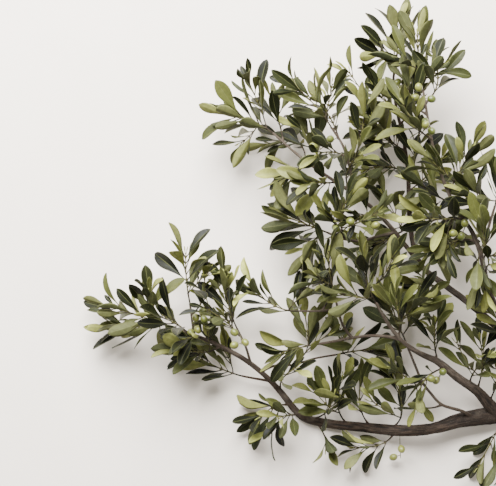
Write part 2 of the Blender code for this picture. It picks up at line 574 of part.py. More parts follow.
def plan_shoot(name, base, start, row, radius, room, skip, rng):
    """A shoot to the tip in its row, on a bow that crosses nothing."""
    x, y, z, pairs, leaf_length = row
    tip = Vector((x, y, z)) * CM
    for attempt in range(SHOOT_TRIES):
        strayed = tip + Vector([rng.gauss(0, 1) for _ in range(3)]) * (CM * attempt / TRIES_TO_STRAY)
        strayed.z = max(strayed.z, LOWEST_TIP)
        shoot = Shoot(name, base, start, strayed, pairs, leaf_length * MM, radius, rng)
        if room.clear(shoot.plain_body(CLEAR_START), skip):
            break
    room.put(shoot.plain_body(), name)
    return shoot


def plan_spray(name, paths, room):
    """The path of a spray's woody heel, or None, and its shoots, each with its seat on the first, or None."""
    limb, spot, rows = SPRAYS[name]
    rng = random.Random(f"{SEED} {name}")
    path = paths[limb]
    first_tip = Vector(rows[0][:3]) * CM
    if spot is None:
        start = (path[-1][0] - path[-2][0]).normalized()
        heel, foot = None, path[-1][0]
    else:
        point, limb_radius, direction = place_on(path, spot[0] * CM, spot[1] * CM)
        start = leaning_off(direction, first_tip - point, HEEL_ANGLE)
        foot = point + start * (limb_radius + HEEL_LENGTH)
        heel = [(point, HEEL_RADIUS), (foot, HEEL_RADIUS * HEEL_TAPER)]
        room.put(tube(heel, HEEL_SIDES), name + " heel")
    main = plan_shoot(name, foot + start * JOINT_GAP, start, rows[0], STEM_HALF, room, (), rng)
    shoots = [(main, None)]
    for k, row in enumerate(rows[1:]):
        tip = Vector(row[:3]) * CM
        point, _, _, _, half = main.at(main.marks[k])
        sides = [side for pair, side in main.seats() if pair == k]
        side = max(sides, key=lambda s: main.outward(k, s).dot(tip - point))
        out = main.outward(k, side)
        start = (out + (tip - point).normalized() * SIDE_PULL).normalized()
        shoot = plan_shoot(f"{name} {k}", point + out * half, start, row, SIDE_STEM_HALF, room, (name,), rng)
        shoots.append((shoot, (k, side)))
    return heel, shoots


def plan_leaf(shoot, pair, side, attempt, rng):
    """A leaf for one seat. Each further attempt strays more from the usual place."""
    mark = shoot.marks[pair]
    point, ahead, _, _, half = shoot.at(mark)
    out = shoot.outward(pair, side)
    stray = min(attempt / TRIES_TO_STRAY, MOST_STRAY)
    lean = FIRST_LEAN + (LAST_LEAN - FIRST_LEAN) * mark + rng.gauss(0, LEAN_SPREAD + LEAN_STRAY * stray)
    lean = math.radians(lean)
    roll = math.radians(rng.gauss(0, ROLL_SPREAD + ROLL_STRAY * stray))
    outward = Matrix.Rotation(roll, 3, ahead) @ out
    along = ahead * math.cos(lean) + outward * math.sin(lean)
    natural = ahead * math.sin(lean) - outward * math.cos(lean)
    light = LIGHT_SIDE if rng.random() < FACING_SHARE else -LIGHT_SIDE
    facing = natural.lerp(light, rng.uniform(*FACING_PULL))
    facing += Vector([rng.gauss(0, FACING_SPREAD) for _ in range(3)])
    normal = (facing - along * facing.dot(along)).normalized()
    length = shoot.leaf_length * (END_LENGTH + MIDDLE_LENGTH * math.sin(math.pi * mark))
    length *= rng.uniform(*LENGTH_RANGE) * (1 - CROWDED_LOSS * attempt / LEAF_TRIES)
    width = length * LEAF_WIDTH_SHARE * rng.uniform(*WIDTH_RANGE)
    bend = math.radians(rng.choice(BEND_SIDES) * rng.uniform(*BEND_RANGE))
    fold, twist = math.radians(rng.uniform(*FOLD_RANGE)), math.radians(rng.gauss(0, TWIST_SPREAD))
    outline = POINTED_SECTIONS if pair in (0, shoot.pairs - 1) else FULL_SECTIONS
    seat = shoot.seat_corners(pair, side)
    return Leaf(point + out * half, seat, along, normal, length, width, bend, fold, twist, outline)


def place_leaves(shoots, room, rng):
    """The leaves of a spray's shoots that find room, by shoot, pair and side."""
    taken = {seat for _, seat in shoots if seat is not None}
    leaves = {}
    for number, (shoot, _) in enumerate(shoots):
        for pair, side in shoot.seats():
            if number == 0 and (pair, side) in taken:
                continue
            for attempt in range(LEAF_TRIES):
                leaf = plan_leaf(shoot, pair, side, attempt, rng)
                blade, stalk = leaf.test_bodies()
                if not room.clear(blade) or not room.clear(stalk, (shoot.name,)):
                    continue
                grown = {**leaves, (number, pair, side): leaf}
                if not spray_body(shoots, grown).crosses_itself():
                    leaves = grown
                    room.put(blade, shoot.name + " leaf")
                    room.put(stalk, shoot.name + " leaf")
                    break
    return leaves


def plan_cluster(number, paths, room):
    """The stalk of an olive cluster and its olives, by seat."""
    limb, spot, hang, count = OLIVE_CLUSTERS[number]
    name = f"olives {number}"
    rng = random.Random(f"{SEED} {name}")
    point, limb_radius, direction = place_on(paths[limb], spot[0] * CM, spot[1] * CM)
    out = leaning_off(direction, Vector(hang) * CM - point, FRUIT_ANGLE)
    root = point + out * (limb_radius + JOINT_GAP)
    end = root + out * (Vector(hang) * CM - point).length
    stalk = Shoot(name, root, out, end, 2, 0.0, STALK_HALF, rng)
    room.put(stalk.plain_body(), name)
    fruits = {}
    for pair, side in FRUIT_SEATS[:count]:
        start, ahead, _, _, half = stalk.at(stalk.marks[pair])
        for attempt in range(LEAF_TRIES):
            stray = Vector([rng.gauss(0, 1) for _ in range(3)]) * (FRUIT_SPREAD + attempt / TRIES_TO_SPREAD)
            axis = (stalk.outward(pair, side) + ahead * FRUIT_AHEAD + stray).normalized()
            fruit = Fruit(start + stalk.outward(pair, side) * half + axis * FRUIT_STALK, axis)
            spaced = Body()
            fruit.grow(spaced, grown=CLEARANCE)
            if room.clear(spaced):
                fruits[pair, side] = fruit
                room.put(spaced, name)
                break
    return stalk, fruits


def grow_stem(body, shoot, root_face):
    """Adds a shoot's stem, out of a face of the body or with a flat foot. Returns the face of each seat."""
    half = NODE_LENGTH / 2 / shoot.length()
    if root_face is None:
        loop = body.add(shoot.corners(0.0))
        body.cap_start(loop)
        shift = 0
    else:
        loop = body.open_face(root_face)
        shift = turned_to([body.points[i] for i in loop], shoot.corners(shoot.marks[0] - half))
    faces = {}
    for pair, mark in enumerate(shoot.marks):
        for t in (mark - half, mark + half):
            points = shoot.corners(t)
            far = body.add([points[(i + shift) % 4] for i in range(4)])
            first = body.bridge(loop, far)
            loop = far
        for side in range(4):
            faces[pair, side] = first + (side - shift) % 4
    body.point_end(loop, shoot.at(1.0)[0])
    return faces


def grow_leaf(body, leaf, root_face):
    """Adds a leaf that grows out of a face of the body."""
    root = body.open_face(root_face)
    loops = [body.add(leaf.section(number)) for number in range(len(leaf.outline))]
    shift = turned_to([body.points[i] for i in root], leaf.section(0))
    body.bridge_out(root, [loops[0][(i + shift) % 4] for i in range(4)])
    for near, far in zip(loops, loops[1:]):
        body.bridge_blade(near, far)
    body.point_end(loops[-1], leaf.tip())


def cluster_body(stalk, fruits):
    body = Body()
    faces = grow_stem(body, stalk, None)
    for seat, fruit in fruits.items():
        fruit.grow(body, faces[seat])
    return body


def spray_body(shoots, leaves):
    body = Body()
    faces = []
    for shoot, seat in shoots:
        faces.append(grow_stem(body, shoot, None if seat is None else faces[0][seat]))
    for (number, pair, side), leaf in leaves.items():
        grow_leaf(body, leaf, faces[number][pair, side])
    return body


def plan_branch():
    """The whole branch: the limbs' paths, each spray's heel, shoots and leaves, and the clusters."""
    room = Room()
    paths = {name: limb_path(name) for name in LIMBS}
    for name, path in paths.items():
        room.put(tube(path, LIMBS[name][0]), name)
    grown = {name: plan_spray(name, paths, room) for name in SPRAYS}
    clusters = [plan_cluster(number, paths, room) for number in range(len(OLIVE_CLUSTERS))]
    sprays = {}
    for name, (heel, shoots) in grown.items():
        leaves = place_leaves(shoots, room, random.Random(f"{SEED} leaves {name}"))
        sprays[name] = (heel, shoots, leaves)
    return paths, sprays, clusters


def main():
    for old in list(bpy.data.objects):
        bpy.data.objects.remove(old)
    paths, sprays, clusters = plan_branch()
    wood = [tube(path, LIMBS[name][0]) for name, path in paths.items()]
    wood += [tube(heel, HEEL_SIDES) for heel, _, _ in sprays.values() if heel is not None]
    united("wood", wood, BARK)
    for number, (stalk, fruits) in enumerate(clusters):
        cluster_body(stalk, fruits).object(f"olives_{number + 1:02d}", OLIVE_SKIN)
    for name, (_, shoots, leaves) in sprays.items():
        spray_body(shoots, leaves).object("spray_" + name, LEAF)


main()
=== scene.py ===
"""The look of the olive branch: bark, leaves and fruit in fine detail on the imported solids, light and camera.

Metres, +Z up. Every leaf, shoot and olive stands where the part's own rule puts it, so that rule is here too.
"""

import math
import random

import bpy
import numpy as np
from mathutils import Matrix, Vector, noise
from mathutils.bvhtree import BVHTree


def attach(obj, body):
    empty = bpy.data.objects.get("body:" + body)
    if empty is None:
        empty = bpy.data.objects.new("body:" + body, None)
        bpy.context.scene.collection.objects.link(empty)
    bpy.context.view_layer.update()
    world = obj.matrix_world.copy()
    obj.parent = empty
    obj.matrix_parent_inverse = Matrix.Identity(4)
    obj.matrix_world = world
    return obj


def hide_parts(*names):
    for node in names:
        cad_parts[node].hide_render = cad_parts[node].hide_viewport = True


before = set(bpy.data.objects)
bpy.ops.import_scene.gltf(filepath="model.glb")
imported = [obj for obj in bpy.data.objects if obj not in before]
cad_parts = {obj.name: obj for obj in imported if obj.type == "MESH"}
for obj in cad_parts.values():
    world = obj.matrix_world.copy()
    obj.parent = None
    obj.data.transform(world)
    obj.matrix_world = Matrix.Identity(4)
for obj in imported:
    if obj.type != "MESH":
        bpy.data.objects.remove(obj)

CM, MM = 0.01, 0.001
SEED = 11
UP = Vector((0, 0, 1))
ODD_AXIS = (0.31, 0.17, 0.94)  # an odd direction, to start cross directions from
SQUARE = ((-1, -1), (1, -1), (1, 1), (-1, 1))
LIGHT_SIDE = Vector((-0.15, 0.5, 0.85))  # where most leaves turn their upper side

JOINT_GAP = 0.3 * MM  # between a shoot or a fruit stalk and the wood that carries it
CLEARANCE = 0.45 * MM  # added round every leaf while its place is tested
FLOOR_CLEARANCE = 1.0 * MM
LOWEST_TIP = 14 * MM

RING_SPACING = 60 * MM
HEEL_LENGTH, HEEL_RADIUS, HEEL_SIDES = 7 * MM, 1.9 * MM, 4  # the woody heel that carries a shoot
HEEL_TAPER = 0.85
HEEL_ANGLE, FRUIT_ANGLE = math.radians(50), math.radians(88)

STEM_HALF, SIDE_STEM_HALF = 1.3 * MM, 1.05 * MM  # half the width of a shoot's square stem
STEM_TAPER = 0.4
NODE_LENGTH = 2.4 * MM  # the stretch of a shoot that carries one pair of leaves
SHOOT_KNEE = 0.42  # how far a shoot keeps its first direction, as a share of its reach
SHOOT_BOW = 0.05
SEAT_TURN = 0.6  # how far the first pair may stand turned from level, in radians
SIDE_PULL = 0.9  # how strongly a side shoot starts towards its tip, against straight out of the stem
SHOOT_CROWDING = 0.5  # how much closer together the pairs are at the tip
FIRST_GAP, LAST_GAP = 0.8, 0.25  # below the first pair and above the last, in gaps between pairs
CLEAR_START = 0.08  # share of a shoot, next to what it grows from, that isn't tested
TEST_STRETCHES, LENGTH_STRETCHES = 6, 10  # of a shoot's bow, to test it and to measure it
SHOOT_TRIES, LEAF_TRIES = 40, 48
TRIES_TO_STRAY = 12  # after so many tries a shoot or a leaf strays by one usual step more
MOST_STRAY = 2.0

# Leaf: the shares of its length where its sections stand, each with its width there as a share of the
# widest. The first and the last pair on a shoot are pointed.
FULL_SECTIONS = ((0.46, 0.82), (0.8, 0.96))
POINTED_SECTIONS = ((0.6, 1.0),)
STALK_SHARE = 0.12  # the narrow end of a leaf, tested on its own
LEAF_WIDTH_SHARE = 0.3
BLADE_HALF_THICK = 0.55 * MM
FACING_SHARE = 0.76  # of the leaves that turn their upper side to the light
FACING_PULL = (0.3, 1.0)  # how far they turn there from their natural side
FACING_SPREAD = 0.22

# Angles in degrees. A leaf leans off its stem by the first lean at the stem's start and the last at its end.
FIRST_LEAN, LAST_LEAN = 52, 24
LEAN_SPREAD, LEAN_STRAY = 6, 13
ROLL_SPREAD, ROLL_STRAY = 8, 22
BEND_RANGE, FOLD_RANGE, TWIST_SPREAD = (6, 38), (8, 24), 16
BEND_SIDES = (-1, -1, 1)

# Leaf length against its shoot's usual one: at the shoot's ends, what its middle adds, and the chance part.
END_LENGTH, MIDDLE_LENGTH, LENGTH_RANGE = 0.74, 0.34, (0.86, 1.12)
WIDTH_RANGE = (0.85, 1.15)
CROWDED_LOSS = 0.25  # the share of its length that a leaf gives up in the end where it finds no room

OLIVE_LENGTH, OLIVE_WIDTH = 14.0 * MM, 12.0 * MM
FRUIT_SHOULDER = 0.24  # from its middle to where an olive starts to narrow, as a share of its length
FRUIT_SEATS = ((1, 1), (0, 0), (0, 2), (1, 3))  # on its cluster's stalk, the ones taken first
FRUIT_STALK = 5 * MM
STALK_HALF = 0.85 * MM  # half the width of a fruit stalk
FRUIT_AHEAD = 0.4  # how far an olive turns along its cluster's stalk
FRUIT_SPREAD, TRIES_TO_SPREAD = 0.3, 30

# The photograph's frame: its middle, the size of a pixel there and its size in pixels.
PHOTO_CENTRE = (-0.4704, 0.2688)
PIXEL, PHOTO_PIXELS = 1.6 * MM, (496, 486)
CAMERA_HEIGHT, SENSOR_WIDTH = 3.0, 36.0

# Finished leaves: columns round a section, from one margin over the upper side and back under it, each
# with its place across and its side.
LEAF_COLUMNS = (
    (1.0, 0), (0.88, 1), (0.55, 1), (0.18, 1), (0.0, 1), (-0.18, 1), (-0.55, 1), (-0.88, 1),
    (-1.0, 0), (-0.7, -1), (-0.16, -1), (0.0, -1), (0.16, -1), (0.7, -1))
LEAF_STATIONS, FILLER_STATIONS = 14, 11
LEAF_STALK = 0.09  # share of the length that is stalk
LEAF_STALK_RADIUS = 0.75 * MM
LEAF_THICKNESS = 0.5 * MM
LEAF_ROOT = -0.025  # where a leaf starts, inside its stem, as a share of its length
STATION_CROWDING = 1.12  # above one, a leaf's sections stand closer towards its tip
STALK_STRETCH = (0.02, 0.16)  # of the blade, where the stalk flattens into it
OUTLINE_POWER, BLADE_END = 0.9, 0.997
BLUNT_STRETCH = (0.45, 0.95)  # of the blade, where a blunt leaf is fuller
LEAF_TIP_TAPER, LEAF_TAPER_STRETCH = 0.93, (0.3, 1.0)
MIDRIB_SOFTNESS = 0.1  # of the fold at the midrib, as a share of the width
ROLL_START = 0.55  # where the margin starts to roll, as a share of half the width
HIGH_WAVES, LOW_WAVES = 7.0, 8.5  # along the one margin and along the other, in radians
# What tells one leaf from another, each drawn from its range: how full and how blunt it is, where its two
# waves start, their height, its roll and its cup.
LEAF_FORMS = (
    (1.4, 1.8), (0.2, 0.4), (0, 2 * math.pi), (0, 2 * math.pi), (0.01, 0.05), (0.1, 0.35), (0.15, 1.0))
# How strongly a leaf waves, rolls and cups, and the share of its size that it keeps: the first that crosses
# nothing is taken.
LEAF_EASES = ((1.0, 1.0), (0.6, 1.0), (0.3, 1.0), (0.05, 1.0), (0.05, 0.88), (0.05, 0.76))
EASED_WIDTH = 0.12  # the share of its width that a flat leaf gives up as well
BLADE_START = 0.12  # from where a blade is tested, past the stalk that it grows by
RIB_WIDTH, RIB_GROOVE, RIB_RIDGE = 0.7 * MM, 0.22 * MM, 0.4 * MM
RIB_FADE = 0.8  # the share of its height that the midrib loses towards the tip
# How pale a leaf is, by a young leaf's own paler green and by painted light shining through it: the middle and
# the spread of the draw, and what the youngest add.
LEAF_PALE, LAST_PAIR_PALE = (-0.45, 0.5), 0.5
FILLER_PALE, FILLER_END_PALE = (-0.5, 0.45), 0.3

# Smaller leaves between the pairs: how far they stand turned from them, how long they are against a leaf of
# their shoot, and what they give up of it in the end where they find no room.
FILLER_TURN, FILLER_TRIES = math.radians(45), 14
FILLER_SHARE, FILLER_LOSS, FILLER_SLIMNESS = (0.5, 0.88), 0.4, 0.88
OPEN_PART, OPEN_FILLERS = ((-47, -12), (-5, 17)), 0.4  # from and to there, in cm, fewer of them grow

STEM_SIDES, STEM_STEP, STEM_FOOT, STEM_LEAST = 8, 3 * MM, 3.5 * MM, 12
STEM_NODE_SHARES = (-0.012, 0.0, 0.012)  # sections round each pair of leaves, as shares of the stem
STEM_SWELL, STEM_SWELL_REACH, STEM_END = 0.28, 1.6 * MM, 0.35

BUD_SECTIONS = ((0.0, 0.7), (0.3, 1.0), (0.65, 0.75), (0.95, 0.12))  # shares of its length and width
BUD_SIDES, BUD_SIZE, BUD_LENGTHS = 6, 1.6, (2.2, 3.6)  # size and lengths in mm

# Young leaves at a shoot's end: angles in degrees, lengths in mm.
TIP_MARK, TIP_STATIONS, TIP_PALE = 0.99, 8, 0.8
TIP_LEANS, TIP_BENDS, TIP_FOLDS, TIP_TWIST_SPREAD = (16, 30), (8, 24), (12, 26), 10
TIP_LENGTHS, TIP_WIDTH_SHARE = (10, 17), 0.24

FRUIT_STATIONS, FRUIT_SIDES = 18, 20
FRUIT_STALK_RADIUS, FRUIT_FOOT, FRUIT_STALK_SIDES = 0.6 * MM, 2.5 * MM, 8
CLUSTER_STATIONS, CLUSTER_SWELL, CLUSTER_SWELL_REACH = 14, 0.35, 1.5 * MM
CLUSTER_FOOT, CLUSTER_END = 1.3, 0.5  # how thick its stalk starts and ends, against the rest

WOOD_STEP, WOOD_SIDES, WOOD_VOXEL = 4 * MM, 18, 0.8 * MM
FLARE, FLARE_REACH = 0.45, 2.2  # how much thicker a limb starts, and for how many of its radii
BUTT_CENTRE = (-0.002, 0.013)
CUT_RINGS, CUT_RING_WAVER = 620.0, 0.0012  # rings in a metre, and how far they waver
RUN_SHIFT = 0.37  # between the grain of one limb and the next
POINTS_AT_ONCE = 4000
BARK_ROUND, BARK_ALONG = 330, 46  # how fine the bark's ridges are, round a limb and along it
RIDGE_HEIGHT, FINE_HEIGHT, SWELL_SHARE = 0.9 * MM, 0.25 * MM, 0.07
SMOOTH_RADIUS, ROUGH_REACH = 1.8 * MM, 6 * MM  # up to the first a twig is smooth, at their sum fully rough

FLOOR_LEVEL, FLOOR_HALF = -0.2 * MM, 6.0

# Colours, linear.
LEAF_DARK, LEAF_MID, LEAF_FRESH = (0.0028, 0.0036, 0.002), (0.0165, 0.0202, 0.0058), (0.075, 0.083, 0.021)
# The margin colour is partly the leaf's own pale rim and partly a painted highlight on lit edges.
# The young colour is partly a young leaf's own paler green and partly painted light shining through a leaf.
LEAF_YOUNG_AND_LIT, LEAF_VEIN, LEAF_MARGIN_HIGHLIGHT = (0.42, 0.435, 0.11), (0.13, 0.14, 0.05), (0.22, 0.23, 0.075)
LEAF_UNDER, LEAF_UNDER_WARM = (0.028, 0.034, 0.015), (0.115, 0.12, 0.04)
STEM_OLD, STEM_YOUNG = (0.022, 0.015, 0.01), (0.1, 0.095, 0.032)
# The dark bark colour serves both the bark's own dark streaks and painted shade on the thick trunk.
BARK_FURROW_SHADE, BARK_RIDGE, BARK_STREAK_AND_SHADE = (0.006, 0.004, 0.0028), (0.05, 0.033, 0.022), (0.011, 0.0072, 0.005)
BARK_GREY, TWIG = (0.13, 0.108, 0.084), (0.042, 0.028, 0.018)
CUT_LATE, CUT_EARLY, CUT_HEART = (0.36, 0.23, 0.12), (0.55, 0.4, 0.23), (0.3, 0.17, 0.08)
OLIVE_GREEN, OLIVE_YELLOW = (0.075, 0.095, 0.016), (0.17, 0.18, 0.037)
OLIVE_SHADE, OLIVE_DOT = (0.05, 0.062, 0.012), (0.36, 0.36, 0.15)
FLOOR_COLOUR, FLOOR_SHADE = (0.95, 0.87, 0.77), (0.93, 0.85, 0.75)

# Lights: place from the photograph's middle, size and power.
WORLD_COLOUR, WORLD_STRENGTH = (1.0, 0.97, 0.93), 0.42
LIGHTS = (
    ("key", (-0.4, 1.7, 1.7), 2.3, 440),
    ("fill", (1.9, -1.2, 2.4), 2.4, 20),
)

# Twigs too small for a solid of their own, in the same form as the sprays.
TWIGS = {
    "under_one": ("trunk", (-36.2, -1.6), [(-34.6, -5.2, 2.4, 2, 54)]),
    "arc_leaf": ("arc", (-16.6, 1.5), [(-20.8, 1.2, 6.4, 2, 54)]),
    "knee_up": ("trunk", (-42.0, 3.4), [(-39.6, 7.4, 7.8, 3, 58)]),
    "heart_low": ("reach", (-35.6, 16.3), [(-35.6, 22.0, 8.2, 4, 60)]),
    "beam_in": ("beam", (-21.9, 41.5), [(-29.2, 42.6, 7.0, 5, 60)]),
    "crest_side": ("bough_rise", (-33.0, 43.0), [(-36.6, 49.6, 11.0, 4, 60)]),
    "beam_out": ("beam", (-22.9, 45.2), [(-29.8, 48.8, 8.4, 4, 60)]),
    "far_mid": ("bough", (-38.0, 39.6), [(-40.8, 48.0, 5.6, 4, 62)]),
    "far_up": ("bough", (-41.6, 42.6), [(-43.0, 49.4, 5.4, 3, 60)]),
    "bough_in": ("bough", (-27.0, 31.7), [(-31.4, 29.6, 13.2, 4, 60)]),
    "inner_up": ("inner", (-32.0, 27.5), [(-36.6, 31.0, 13.4, 3, 58)]),
    "edge_side": ("mast_side", (-9.8, 30.4), [(-12.8, 35.4, 15.6, 4, 62)]),
    "beam_mid": ("beam", (-15.6, 19.9), [(-21.0, 20.2, 9.0, 4, 60)]),
    "top_side": ("beam", (-23.9, 54.4), [(-25.6, 59.4, 9.6, 3, 54)]),
    "mast_left": ("mast", (-18.9, 46.6), [(-22.6, 51.6, 12.6, 4, 58)]),
    "mast_right": ("mast", (-19.8, 48.2), [(-18.8, 56.6, 12.6, 4, 58)]),
    "left_in": ("trunk", (-54.0, 11.9), [(-59.6, 14.4, 9.8, 4, 60)]),
    "left_low": ("left_lift", (-48.2, 12.4), [(-50.6, 15.4, 6.4, 3, 54)]),
    "left_top": ("left_rise", (-56.0, 15.6), [(-53.0, 21.6, 9.4, 3, 58)]),
    "knee_over": ("trunk", (-38.6, -0.3), [(-41.8, -0.4, 5.4, 3, 52)]),
    "knee_mid": ("trunk", (-36.8, -1.3), [(-33.6, 2.8, 4.6, 3, 54)]),
    "bough_out": ("bough", (-31.6, 35.1), [(-30.2, 41.6, 12.0, 4, 58)]),
    "mast_in": ("mast", (-15.6, 32.8), [(-20.8, 36.2, 12.4, 4, 60)]),
    "edge_low": ("mast", (-10.4, 22.2), [(-10.4, 23.8, 14.8, 3, 56)]),
    "fork_end": ("fork", (-8.9, 1.3), [(-7.8, 7.4, 7.0, 4, 48)]),
    "fork_low": ("fork", (-12.2, 4.4), [(-9.8, 9.2, 9.4, 4, 50)]),
    "fork_in": ("fork", (-16.2, 7.4), [(-20.2, 4.6, 8.6, 3, 50)]),
}

# Limbs: the number of sides, then points along the axis as x, y, z in cm and the radius there in mm.
LIMBS = {
    "trunk": (10, [
        (7.0, -0.2, 1.30, 14.6), (3.5, -0.1, 1.28, 14.2), (0.0, 0.0, 1.28, 14.0), (-5.0, -0.2, 1.34, 14.2),
        (-9.9, -0.7, 2.0, 13.6), (-13.8, -1.3, 2.6, 11.4), (-17.0, -2.3, 3.0, 9.2), (-20.2, -2.8, 3.0, 9.0),
        (-24.2, -2.8, 2.6, 8.6), (-29.8, -2.4, 1.3, 7.6), (-34.6, -1.9, 0.64, 7.0), (-37.8, -1.1, 0.95, 6.6),
        (-39.6, 0.4, 1.6, 5.8), (-41.8, 3.2, 2.4, 4.8), (-44.2, 5.8, 3.3, 4.3), (-47.4, 8.4, 4.3, 4.0),
        (-50.9, 10.4, 5.1, 3.5), (-54.4, 12.0, 5.7, 3.0), (-58.0, 13.3, 6.1, 2.4)]),
    "fork": (8, [
        (-7.4, -0.4, 1.9, 9.0), (-8.9, 1.3, 3.0, 8.6), (-10.9, 3.5, 4.4, 7.6), (-14.2, 5.8, 6.2, 6.8),
        (-17.3, 8.3, 7.8, 5.6), (-19.6, 9.4, 8.9, 4.6), (-21.6, 10.5, 9.8, 3.8), (-23.8, 12.3, 10.6, 3.3),
        (-25.8, 15.0, 11.4, 2.8), (-27.4, 17.7, 12.0, 2.3)]),
    "arc": (5, [
        (-11.2, -0.9, 2.6, 3.2), (-13.4, 0.4, 4.4, 2.8), (-16.6, 1.5, 5.9, 2.4), (-18.4, 3.3, 6.5, 2.3),
        (-19.8, 5.2, 6.7, 2.2), (-21.0, 8.0, 6.6, 2.1), (-22.4, 11.6, 6.3, 1.9)]),
    "beam": (8, [
        (2.4, -0.1, 1.6, 7.6), (1.2, 2.6, 3.2, 7.2), (-1.6, 7.0, 4.8, 6.8), (-5.0, 11.0, 5.8, 6.3),
        (-8.0, 13.7, 6.3, 6.0), (-12.0, 17.1, 6.2, 5.5), (-16.0, 20.2, 5.4, 5.0), (-18.6, 22.2, 4.4, 4.6),
        (-20.3, 24.4, 3.0, 4.3), (-21.0, 28.2, 1.3, 4.0), (-21.3, 33.0, 0.34, 3.8), (-21.5, 38.0, 0.9, 3.3),
        (-22.3, 43.0, 2.3, 2.9), (-23.6, 48.2, 4.0, 2.5), (-24.2, 52.3, 5.4, 2.2), (-23.8, 55.4, 6.2, 1.9)]),
    "mast": (5, [
        (-6.4, 12.4, 6.0, 5.0), (-8.0, 16.0, 7.6, 4.7), (-9.8, 20.0, 9.4, 4.4), (-11.2, 25.2, 11.2, 4.0),
        (-12.8, 28.8, 12.4, 3.6), (-15.0, 31.8, 13.3, 3.2), (-16.9, 35.6, 13.9, 2.7),
        (-18.5, 40.2, 14.0, 2.4), (-19.4, 45.0, 13.6, 2.1), (-20.2, 50.2, 12.8, 1.9)]),
    "mast_side": (5, [
        (-11.2, 25.0, 11.2, 2.8), (-10.2, 29.0, 12.3, 2.4), (-9.2, 32.6, 12.8, 2.0)]),
    "bough": (5, [
        (-20.0, 23.8, 3.4, 4.0), (-21.8, 25.9, 4.9, 3.8), (-24.3, 28.9, 6.4, 3.5), (-27.4, 32.1, 7.8, 3.2),
        (-30.9, 34.7, 8.8, 2.9), (-35.6, 37.8, 9.3, 2.5), (-38.9, 40.2, 9.2, 2.2), (-43.2, 44.0, 8.8, 1.8)]),
    "bough_rise": (5, [
        (-30.7, 34.5, 8.8, 2.5), (-31.3, 38.4, 10.3, 2.3), (-32.4, 41.8, 11.2, 2.0),
        (-34.2, 44.6, 11.7, 1.8)]),
    "inner": (5, [
        (-24.0, 28.5, 6.2, 2.6), (-26.8, 27.9, 7.9, 2.4), (-29.8, 27.2, 9.4, 2.2), (-32.6, 27.6, 10.2, 2.0),
        (-34.8, 28.5, 10.6, 1.8)]),
    "shelf": (5, [
        (-23.6, 12.1, 10.5, 2.8), (-26.8, 12.5, 9.3, 2.6), (-30.3, 12.2, 8.2, 2.4), (-33.8, 11.5, 7.3, 2.1),
        (-36.6, 11.0, 6.8, 1.8)]),
    "heart": (5, [
        (-30.9, 12.1, 8.0, 2.3), (-32.4, 14.3, 9.3, 2.1), (-33.2, 16.9, 10.2, 2.0),
        (-33.8, 19.5, 10.7, 1.8)]),
    "reach": (5, [
        (-33.1, 16.6, 10.1, 2.0), (-36.4, 16.3, 8.9, 1.8), (-39.2, 16.3, 8.0, 1.7)]),
    "low_reach": (5, [
        (-43.4, 5.0, 3.0, 2.2), (-46.0, 5.4, 2.6, 2.0), (-48.1, 5.8, 2.5, 1.7)]),
    "left_rise": (5, [
        (-55.5, 12.4, 5.8, 2.1), (-55.8, 14.9, 6.9, 2.0), (-56.1, 17.5, 7.5, 1.7)]),
    "left_lift": (5, [
        (-46.6, 7.8, 4.1, 2.2), (-47.4, 10.6, 5.8, 2.0), (-48.8, 13.6, 7.0, 1.7)]),
    "under_arch": (5, [
        (-45.0, 6.5, 3.6, 2.2), (-42.6, 7.6, 4.6, 1.9), (-40.0, 7.7, 4.9, 1.8), (-36.6, 8.7, 5.1, 1.7),
        (-33.2, 9.3, 5.0, 1.6)]),
}

